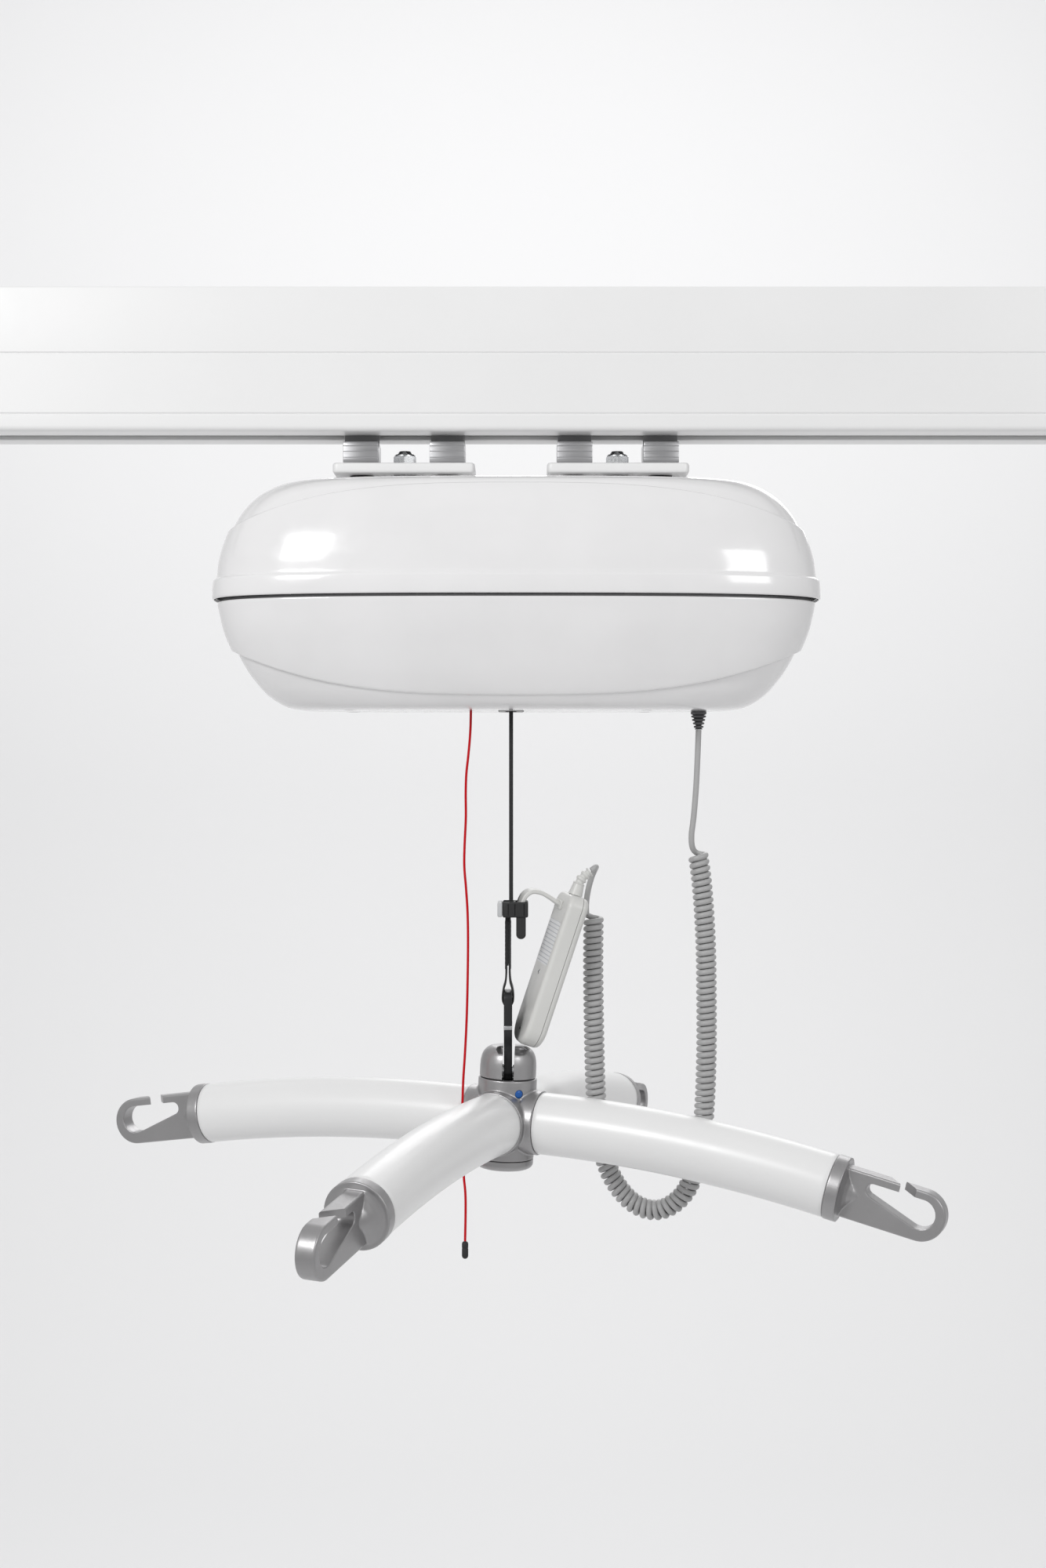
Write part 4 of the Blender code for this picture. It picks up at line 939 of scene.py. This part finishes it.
def make_outlets():
    """The slot that the strap leaves by and the ribbed boot of the curly cord."""
    outer = soft_box((-0.0100, -0.0210, -0.3389), (0.0100, 0.0210, -0.3300), 0.0008)
    slot = soft_box((-0.0045, -0.0150, -0.36), (0.0045, 0.0150, -0.31), 0.0015)
    piece("strap_guide_piece", carve(outer, "DIFFERENCE", slot), GREY_PLASTIC, "hoist", "strap_guide")
    profile = [(0.0, 0.012), (0.0050, 0.012), (0.0050, -0.0002), (0.0062, -0.0002), (0.0064, -0.0006),
               (0.0064, -0.0022), (0.0060, -0.0027)]
    rib = ((0.0018, 0.0003), (0.0003, 0.0007), (0, 0.0011), (0, 0.0017), (0.0003, 0.0021),
           (0.0018, 0.0025))
    for step in range(4):
        top, radius = -0.0030 - step * 0.0028, 0.0061 - step * 0.0007
        profile += [(radius - inset, top - drop) for inset, drop in rib]
    profile += [(0.0033, -0.0146), (0.0029, -0.0150), (0.0, -0.0150)]
    piece("cord_gland_piece", lathe(profile, 48), DARK_PLASTIC, "hoist", "cord_gland",
          at=shift(TAIL_TOP[0][0], 0, CASE_BOTTOM))


# ---------------------------------------------------------------- strap, clip and hanger

def make_strap():
    thickness, top, length, steps = 0.0032, -0.24, 0.26, 180
    rows = [(0.0, top - length * i / steps) for i in range(steps + 1)]
    strap = new_object("strap_piece", band_mesh(rows, 2 * STRAP_HALF, thickness), WEBBING)
    bending(strap, "black_webbing", "strap")
    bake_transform(strap)


def make_strap_loop():
    """The strap's end: two thicknesses sewn together, open as a loop around the hanger's bar."""
    ply = 0.0016
    route = [(0.0014, STRAP_JOIN_Z), (0.0014, -0.5200), (0.0014, -0.5420), (0.0014, -0.5520),
             (0.0020, -0.5590), (0.0034, -0.5640), (0.0042, -0.5690), (0.0042, -0.5735),
             (0.0032, -0.5765)]
    side = smooth_line(route, 0.0011)
    line = side + [(0.0, BAR_BOTTOM - 0.0031)] + [(-x, z) for x, z in reversed(side)]
    mesh = band_mesh([(HANG_X + x, z) for x, z in line], 2 * STRAP_HALF, ply)
    loop = new_object("strap_loop_piece", mesh, WEBBING)
    bending(loop, "black_webbing", "strap_loop")
    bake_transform(loop)
    rows = [(HANG_X, STRAP_JOIN_Z - 0.0004 - 0.0450 * i / 40) for i in range(41)]
    piece("loop_core", band_mesh(rows, 2 * STRAP_HALF, 0.0009, 9, 0.0002), WEBBING, "strap_end")
    stitch = soft_box((-0.0002, -0.00045, -0.0013), (0.0002, 0.00045, 0.0013), 0.00019, 2)
    stitches = [moved(stitch.copy(), shift(HANG_X + face * 0.0023, -0.0096 + row * 0.0032,
                                           -0.5110 - step * 0.0036))
                for face in (-1, 1) for row in range(7) for step in range(11)]
    piece("loop_stitching", joined(*stitches), DARK_PLASTIC, "strap_end", slot="black_webbing")


def make_clip():
    """The rubber clip on the strap that the hand control hangs from."""
    body = soft_box((-0.0068, -0.0200, CLIP_BOTTOM), (0.0139, 0.0155, CLIP_TOP), 0.0013)
    outline = rounded((0.0042, -0.5235), (0.0120, CLIP_BOTTOM + 0.004), 0.0006, 6, 0.0037)
    tab = moved(prism(outline, 0.022, 0.0009), shift(0, -0.0075, 0) @ FACING_Y)
    body = carve(body, "UNION", tab)
    tools = [soft_box((-0.0066, -0.0130, -0.52), (0.0021, 0.0130, -0.48), 0.0005),
             soft_box((0.0036, -0.0180, CLIP_BOTTOM + 0.0005), (0.0122, 0.0030, -0.48), 0.0005)]
    for x in (-0.0022, 0.0032, 0.0106):      # the grooves between the ribs on the front
        low, high = (x - 0.0004, -0.0212, -0.5045), (x + 0.0004, -0.0193, -0.4950)
        tools.append(soft_box(low, high, 0.0002, 1))
    piece("handset_clip_piece", carve(body, "DIFFERENCE", *tools), RUBBER, "strap_end", "handset_clip")
    band = soft_box((-0.0110, -0.0198, CLIP_BOTTOM + 0.0004),
                    (-0.0069, 0.0153, CLIP_TOP - 0.0004), 0.0012)
    piece("clip_band", band, BAND_GREY, "strap_end")


def make_hanger():
    """The steel plate between the strap's loop and the swivel head."""
    corner, waist = 0.0055, 0.0090
    side = [(0.020, -0.5930), (0.0195, -0.5965), (0.0150, -0.6040), (0.0105, -0.6095),
            (waist, -0.6140)]
    outline = rounded((-0.020, BAR_TOP - 0.030), (0.020, BAR_TOP), corner, 8)[:18]
    outline += [(-x, z) for x, z in side] + arc((0.0, PIN_Z), waist, 180, 360, 20) + side[::-1]
    plate = prism(outline, 0.0066, 0.0005)
    slot = prism(rounded((-0.0142, BAR_BOTTOM - 0.010), (0.0142, BAR_BOTTOM), 0.003, 6), 0.02)
    plate = carve(plate, "DIFFERENCE", slot, upright(0, PIN_Z, (-0.02, 0.02), 0.0046))
    piece("hanger_plate_piece", plate, BLACK_STEEL, "hanger", "hanger_plate",
          at=shift(HANG_X, 0, 0) @ FACING_X)
    edge = soft_box((-0.0034, -0.0203, -0.5968), (0.0034, 0.0203, -0.5934), 0.0007)
    band = carve(edge, "DIFFERENCE", soft_box((-0.01, -0.0186, -0.61), (0.01, 0.0186, -0.58), 0))
    piece("hanger_ferrule", band, ZINC, "hanger", at=shift(HANG_X, 0, 0))


# ---------------------------------------------------------------- swivel head and hub

def make_head():
    """The swivel's dome with its slot, and the cross pin in a sleeve."""
    dome = ((0.0090, 0.0208), (0.0140, 0.0204), (0.0183, 0.0181), (0.0212, 0.0142), (0.0226, 0.0090),
            (0.0230, 0.0040))
    profile = [(0, 0.0209), *smooth_line(dome, 0.0015), (0.0230, -0.0040), (0.0226, -0.0046),
               (0.0175, -0.0046), (0.0175, -0.0203), (0, -0.0203)]
    ball = [(0, 0.006), (0.0042, 0.0042), (0.006, 0), (0.0042, -0.0042), (0, -0.006)]
    scoops = [moved(lathe(ball, 48), shift(x, -0.0130, 0.0190) @ Matrix.Diagonal((wide, 1.6, 0.75, 1)))
              for x, wide in ((0.0080, 1.15), (-0.0058, 0.7))]
    head = softened(carve(lathe(profile, 96), "DIFFERENCE", *scoops), 6, 0.35)
    slot = soft_box((-0.0047, -0.03, -0.0105), (0.0047, 0.03, 0.03), 0)
    bore = rod((-0.0198, 0, 0), (0.0198, 0, 0), 0.0043)
    head = carve(head, "DIFFERENCE", slot, bore)
    piece("swivel_head_piece", head, SILVER, "swivel_head", "swivel_head", at=HEAD_PLACE, smooth=40)
    pin = rod((-0.0195, 0, 0), (0.0195, 0, 0), 0.0040)
    sleeve = carve(rod((-0.0046, 0, 0), (0.0046, 0, 0), 0.0056), "DIFFERENCE",
                   rod((-0.02, 0, 0), (0.02, 0, 0), 0.0041),
                   soft_box((-0.0037, -0.01, -0.01), (0.0037, 0.01, 0.01), 0))
    piece("swivel_pin_piece", joined(pin, sleeve), ZINC, "swivel_head", "swivel_pin", at=HEAD_PLACE)


def arm_root(k):
    """Where an arm leaves the hub, in the head's own frame."""
    return shift(0, 0, ARM_Z) @ rotate(ARM_AZIMUTH + 90 * k, "Z")


def make_hub():
    """The hub with its four collars, its blue plug and its end cap."""
    profile = [(0.0180, -0.0052), (0.0236, -0.0052), (0.0239, -0.0056), (0.0239, -0.0703),
               (0.0234, -0.0708), (0.0160, -0.0708), (0.0160, -0.0480), (0.0068, -0.0480),
               (0.0068, -0.0208), (0.0180, -0.0208)]
    hub = lathe(profile, 96, closed=True)
    collars = [moved(rod((0.0186, 0, 0), (COLLAR_END, 0, 0), 0.0260, 96), arm_root(k)) for k in range(4)]
    bores = [upright(0, 0, (-0.09, -0.0480), 0.0160), upright(0, 0, (-0.0208, 0.02), 0.0180),
             upright(0, 0, (-0.06, 0), 0.0068)]
    hub = carve(hub, "UNION", *collars)
    hub = softened(carve(hub, "DIFFERENCE", *bores), 14, 0.30)
    angle = math.radians(ARM_AZIMUTH - 45)
    facing = Vector((math.cos(angle), math.sin(angle), 0))
    middle = Vector((0, 0, -0.0155))
    hub = carve(hub, "DIFFERENCE", rod(middle + facing * 0.0196, middle + facing * 0.03, 0.0035))
    piece("hub_piece", hub, SILVER, "spreader", "hub", at=HEAD_PLACE, smooth=45)
    disc = [(0, 0.0244), (0.0016, 0.0244), (0.0026, 0.0241), (0.0032, 0.0236), (0.0032, 0.0199),
            (0, 0.0199)]
    outward = facing.to_track_quat("Z", "Y").to_matrix().to_4x4()
    piece("hub_plug_piece", lathe(disc, 40), BLUE_PLASTIC, "spreader", "hub_plug",
          at=HEAD_PLACE @ Matrix.Translation(middle) @ outward)
    base = [(0, -0.0650), (0.0155, -0.0650), (0.0155, -0.0711), (0.0232, -0.0711), (0.0237, -0.0716),
            (0.0237, -0.0744)]
    base += [(0.0170 + 0.0067 * math.cos(math.radians(a)), -0.0744 - 0.0050 * math.sin(math.radians(a)))
             for a in range(10, 91, 10)] + [(0, -0.0797)]
    piece("hub_base_piece", lathe(base, 96), SILVER, "spreader", "hub_base", at=HEAD_PLACE)


# ---------------------------------------------------------------- arms and hooks

def arm_path(steps):
    """The sleeve's centre line: a short straight, a bend down and a short straight."""
    start = COLLAR_END + 0.0003
    bend = (ARM_END - start - 2 * STUB) / math.sin(ARM_SLOPE)
    path = [Vector((start, 0, 0))]
    for i in range(steps + 1):
        angle = ARM_SLOPE * i / steps
        path.append(Vector((start + STUB + bend * math.sin(angle), 0, -bend * (1 - math.cos(angle)))))
    path.append(path[-1] + STUB * Vector((math.cos(ARM_SLOPE), 0, -math.sin(ARM_SLOPE))))
    return path


def sleeve_mesh():
    """The arm's hollow sleeve, its ends slightly rounded."""
    path, sides = arm_path(40), 72
    ring = [(ARM_RADIUS - ARM_WALL, 0.0), (ARM_RADIUS - 0.0005, 0.0), (ARM_RADIUS, 0.0005)]

    def build(bm):
        frames = frames_along(path)
        places = [(path[0] + Vector((back, 0, 0)), frames[0], radius) for radius, back in ring]
        places += [(here, there, ARM_RADIUS) for here, there in zip(path[1:-1], frames[1:-1])]
        places += [(path[-1] - frames[-1][0] * back, frames[-1], radius) for radius, back in ring[::-1]]
        places += [(here, there, ARM_RADIUS - ARM_WALL)
                   for here, there in zip(path[-2:0:-1], frames[-2:0:-1])]
        bridge(bm, [ring_around(bm, *place, sides) for place in places], closed=True)
    return mesh_from(build)


def hook_mesh():
    """The open hook, in the frame of the sleeve's end: +X outward, Z up."""
    base, length, half, thick = 0.0103, 0.081, 0.0195, 0.015
    tip = base + length - half
    outline = [(base - 0.003, -half)] + arc((tip, 0.0), half, -90, 90, 40) + [(base - 0.003, half)]
    plate = moved(prism(outline, thick, 0.0012, 2), FACING_Y)
    eye = round_slot((base + 0.0225, 0.0078), 0.0052, (base + 0.0614, 0.0015), 0.0115)
    eye = moved(prism(eye, 0.03), FACING_Y)
    ring = rod((0.0003, 0, 0), (base, 0, 0), 0.0255, sides=96)
    spigot = rod((-0.019, 0, 0), (base, 0, 0), 0.0215, sides=64)
    flare = ((0, -0.0005), (0.0242, -0.0005), (0.0195, 0.0008), (0.0155, 0.0024), (0.0122, 0.0048),
             (0.0095, 0.0080), (0.0078, 0.0115), (0, 0.0115))
    flare = moved(lathe([(r, base + out) for r, out in flare], 96), rotate(90, "Y"))
    flare = carve(flare, "INTERSECT", soft_box((0, -0.03, -half), (0.04, 0.03, half), 0))
    hook = carve(carve(plate, "UNION", ring, flare), "UNION", spigot)
    hook = softened(carve(hook, "DIFFERENCE", eye), 9, 0.30)
    mouth = moved(soft_box((-0.00505, -0.03, 0.0085), (0.00505, 0.03, 0.03), 0.0006, 2),
                  shift(base + 0.0428, 0, 0) @ rotate(36.3, "Z"))
    return carve(hook, "DIFFERENCE", mouth)


def make_arms():
    sleeve, hook, end = sleeve_mesh(), hook_mesh(), arm_path(8)[-1]
    for k in range(4):
        root = HEAD_PLACE @ arm_root(k)
        seat = root @ Matrix.Translation(end) @ Matrix.Rotation(ARM_SLOPE, 4, "Y")
        for name, mesh, material, place, smooth in (("arm_%d", sleeve, ARM_WHITE, root, 50),
                                                    ("hook_%d", hook, SILVER, seat, 45)):
            name = name % (k + 1)
            piece(name + "_piece", mesh.copy(), material, "spreader", name, at=place, smooth=smooth)


# ---------------------------------------------------------------- hand control

def handset_body():
    outline = rounded((-0.023, -0.064), (0.023, 0.064), 0.010, 12, 0.017)
    return moved(prism(outline, 0.0176, 0.0042, 6), FACING_X)


def cut_at(mesh, x, keep_low):
    """The part of a mesh on one side of a plane across X, closed over the cut."""
    def build(bm):
        bm.from_mesh(mesh)
        made = bmesh.ops.bisect_plane(
            bm, geom=bm.verts[:] + bm.edges[:] + bm.faces[:], plane_co=(x, 0, 0),
            plane_no=(1, 0, 0), clear_outer=keep_low, clear_inner=not keep_low)
        rim = [e for e in made["geom_cut"] if isinstance(e, bmesh.types.BMEdge)]
        bmesh.ops.holes_fill(bm, edges=rim)
    return mesh_from(build)


def make_handset():
    place = HANDSET_PLACE
    back = cut_at(handset_body(), HANDSET_SEAM - 0.0002, True)
    screws = [rod((-0.0100, y, z), (-0.0080, y, z), 0.0022) for y, z in HANDSET_SCREWS]
    back = carve(back, "DIFFERENCE", *screws)
    piece("handset_back_piece", back, LIGHT_GREY, "handset", "handset_back_shell", at=place)
    front = cut_at(handset_body(), HANDSET_SEAM + 0.0002, False)
    holes = [rod((0.0030, 0, z), (0.012, 0, z), 0.0065) for _, z, _ in BUTTONS]
    front = carve(front, "DIFFERENCE", *holes)
    piece("handset_front_piece", front, LIGHT_GREY, "handset", "handset_front_shell", at=place)
    label = moved(prism(rounded((-0.0175, 0.003), (0.0175, 0.040), 0.002), 0.0003, 0.0001, 1),
                  shift(-0.00885, 0, 0) @ FACING_X)
    piece("handset_label", label, LABEL, "handset", at=place)
    screws = [moved(screw_head(0.0018), shift(-0.0083, y, z) @ rotate(-90, "Y"))
              for y, z in HANDSET_SCREWS]
    piece("handset_screws", joined(*screws), ZINC, "handset", at=place)
    button = [(0, 0.0050), (0.0062, 0.0050), (0.0062, 0.0090), (0.0058, 0.0096), (0.0050, 0.0098),
              (0, 0.0095)]
    for name, z, up in BUTTONS:
        cap = moved(lathe(button, 48), shift(0, 0, z) @ rotate(90, "Y"))
        piece(name + "_piece", cap, DARK_PLASTIC, name, name, at=place)
        arrow = [(-0.0026, z - up * 0.0015), (0.0026, z - up * 0.0015), (0, z + up * 0.0024)]
        mark = moved(prism(arrow, 0.0003), shift(0.0097, 0, 0) @ FACING_X)
        piece(name + "_arrow", mark, LIGHT_GREY, name, at=place)
    make_handset_hook()
    make_strain_relief()


def make_handset_hook():
    """The bent strip that hooks the hand control into the clip."""
    line = [(-0.0092, 0.0527), (-0.0140, 0.0543), (-0.0200, 0.0560), (-0.0255, 0.0571),
            (-0.0300, 0.0572), (-0.0352, 0.0560), (-0.0388, 0.0520), (-0.0400, 0.0470),
            (-0.0397, 0.0420), (-0.0373, 0.0360)]
    strip = band_mesh(smooth_line(line, 0.0012), 0.016, 0.0034, 7, 0.0009)
    root = soft_box((-0.0104, -0.0045, 0.0490), (-0.0085, 0.0145, 0.0565), 0.0007)
    piece("handset_hook_piece", joined(moved(strip, shift(0, 0.005, 0)), root), LIGHT_GREY, "handset",
          "handset_hook", at=HANDSET_PLACE)


def make_strain_relief():
    """The ribbed boot where the cord enters the hand control."""
    route = ((0, 0, 0.0643), (0, 0, 0.0690), (0, 0, 0.0735), (0.0006, 0, 0.0772), (0.0020, 0, 0.0806),
             (0.0036, 0, 0.0832), (0.0055, 0, 0.0858))
    points = smooth_route(route, 0.00035)
    radii = []
    for i in range(len(points)):
        share = i / (len(points) - 1)
        taper = 1.30 - 0.56 * min(1.0, share * 1.35) if share < 0.42 else 0.92 - 0.30 * (share - 0.42)
        rib = 0.13 * math.tanh(2.5 * math.cos(share * 2 * math.pi * 5)) if share > 0.40 else 0.0
        radii.append(taper + rib)
    boot = tube(points, 0.0046, 32, radii)
    piece("strain_relief_piece", boot, LIGHT_GREY, "handset", "handset_strain_relief", at=HANDSET_PLACE,
          smooth=60)


# ---------------------------------------------------------------- inner parts

def dress_inner_parts():
    """Procedural materials on the CAD nodes that stay as they are."""
    looks = {"chassis": STEEL, "motor": BLACK_PLASTIC, "gearbox_housing": ALUMINIUM,
             "battery_pack": BLACK_PLASTIC, "control_board": GREEN_BOARD, "drum": STEEL,
             "wound_strap": WEBBING, "worm_wheel": BRONZE, "worm_shaft": STEEL,
             "handset_board": GREEN_BOARD, "lowering_lever": RED_PLASTIC, "swivel_bolt": ZINC}
    for name, material in looks.items():
        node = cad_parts[name]
        node.data.materials.clear()
        node.data.materials.append(material)


for make in (make_camera, make_stage, make_light, make_curly_cord, make_emergency_cord, make_rail,
             make_trolleys, make_casing, make_strap, make_strap_loop, make_clip, make_hanger, make_head,
             make_hub, make_arms, make_handset, dress_inner_parts):
    make()


def plain(value):
    return [plain(v) for v in value] if hasattr(value, "__len__") else float(value)


{"cad": plain(CAD_BOUNDS), "visual": plain(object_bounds())}
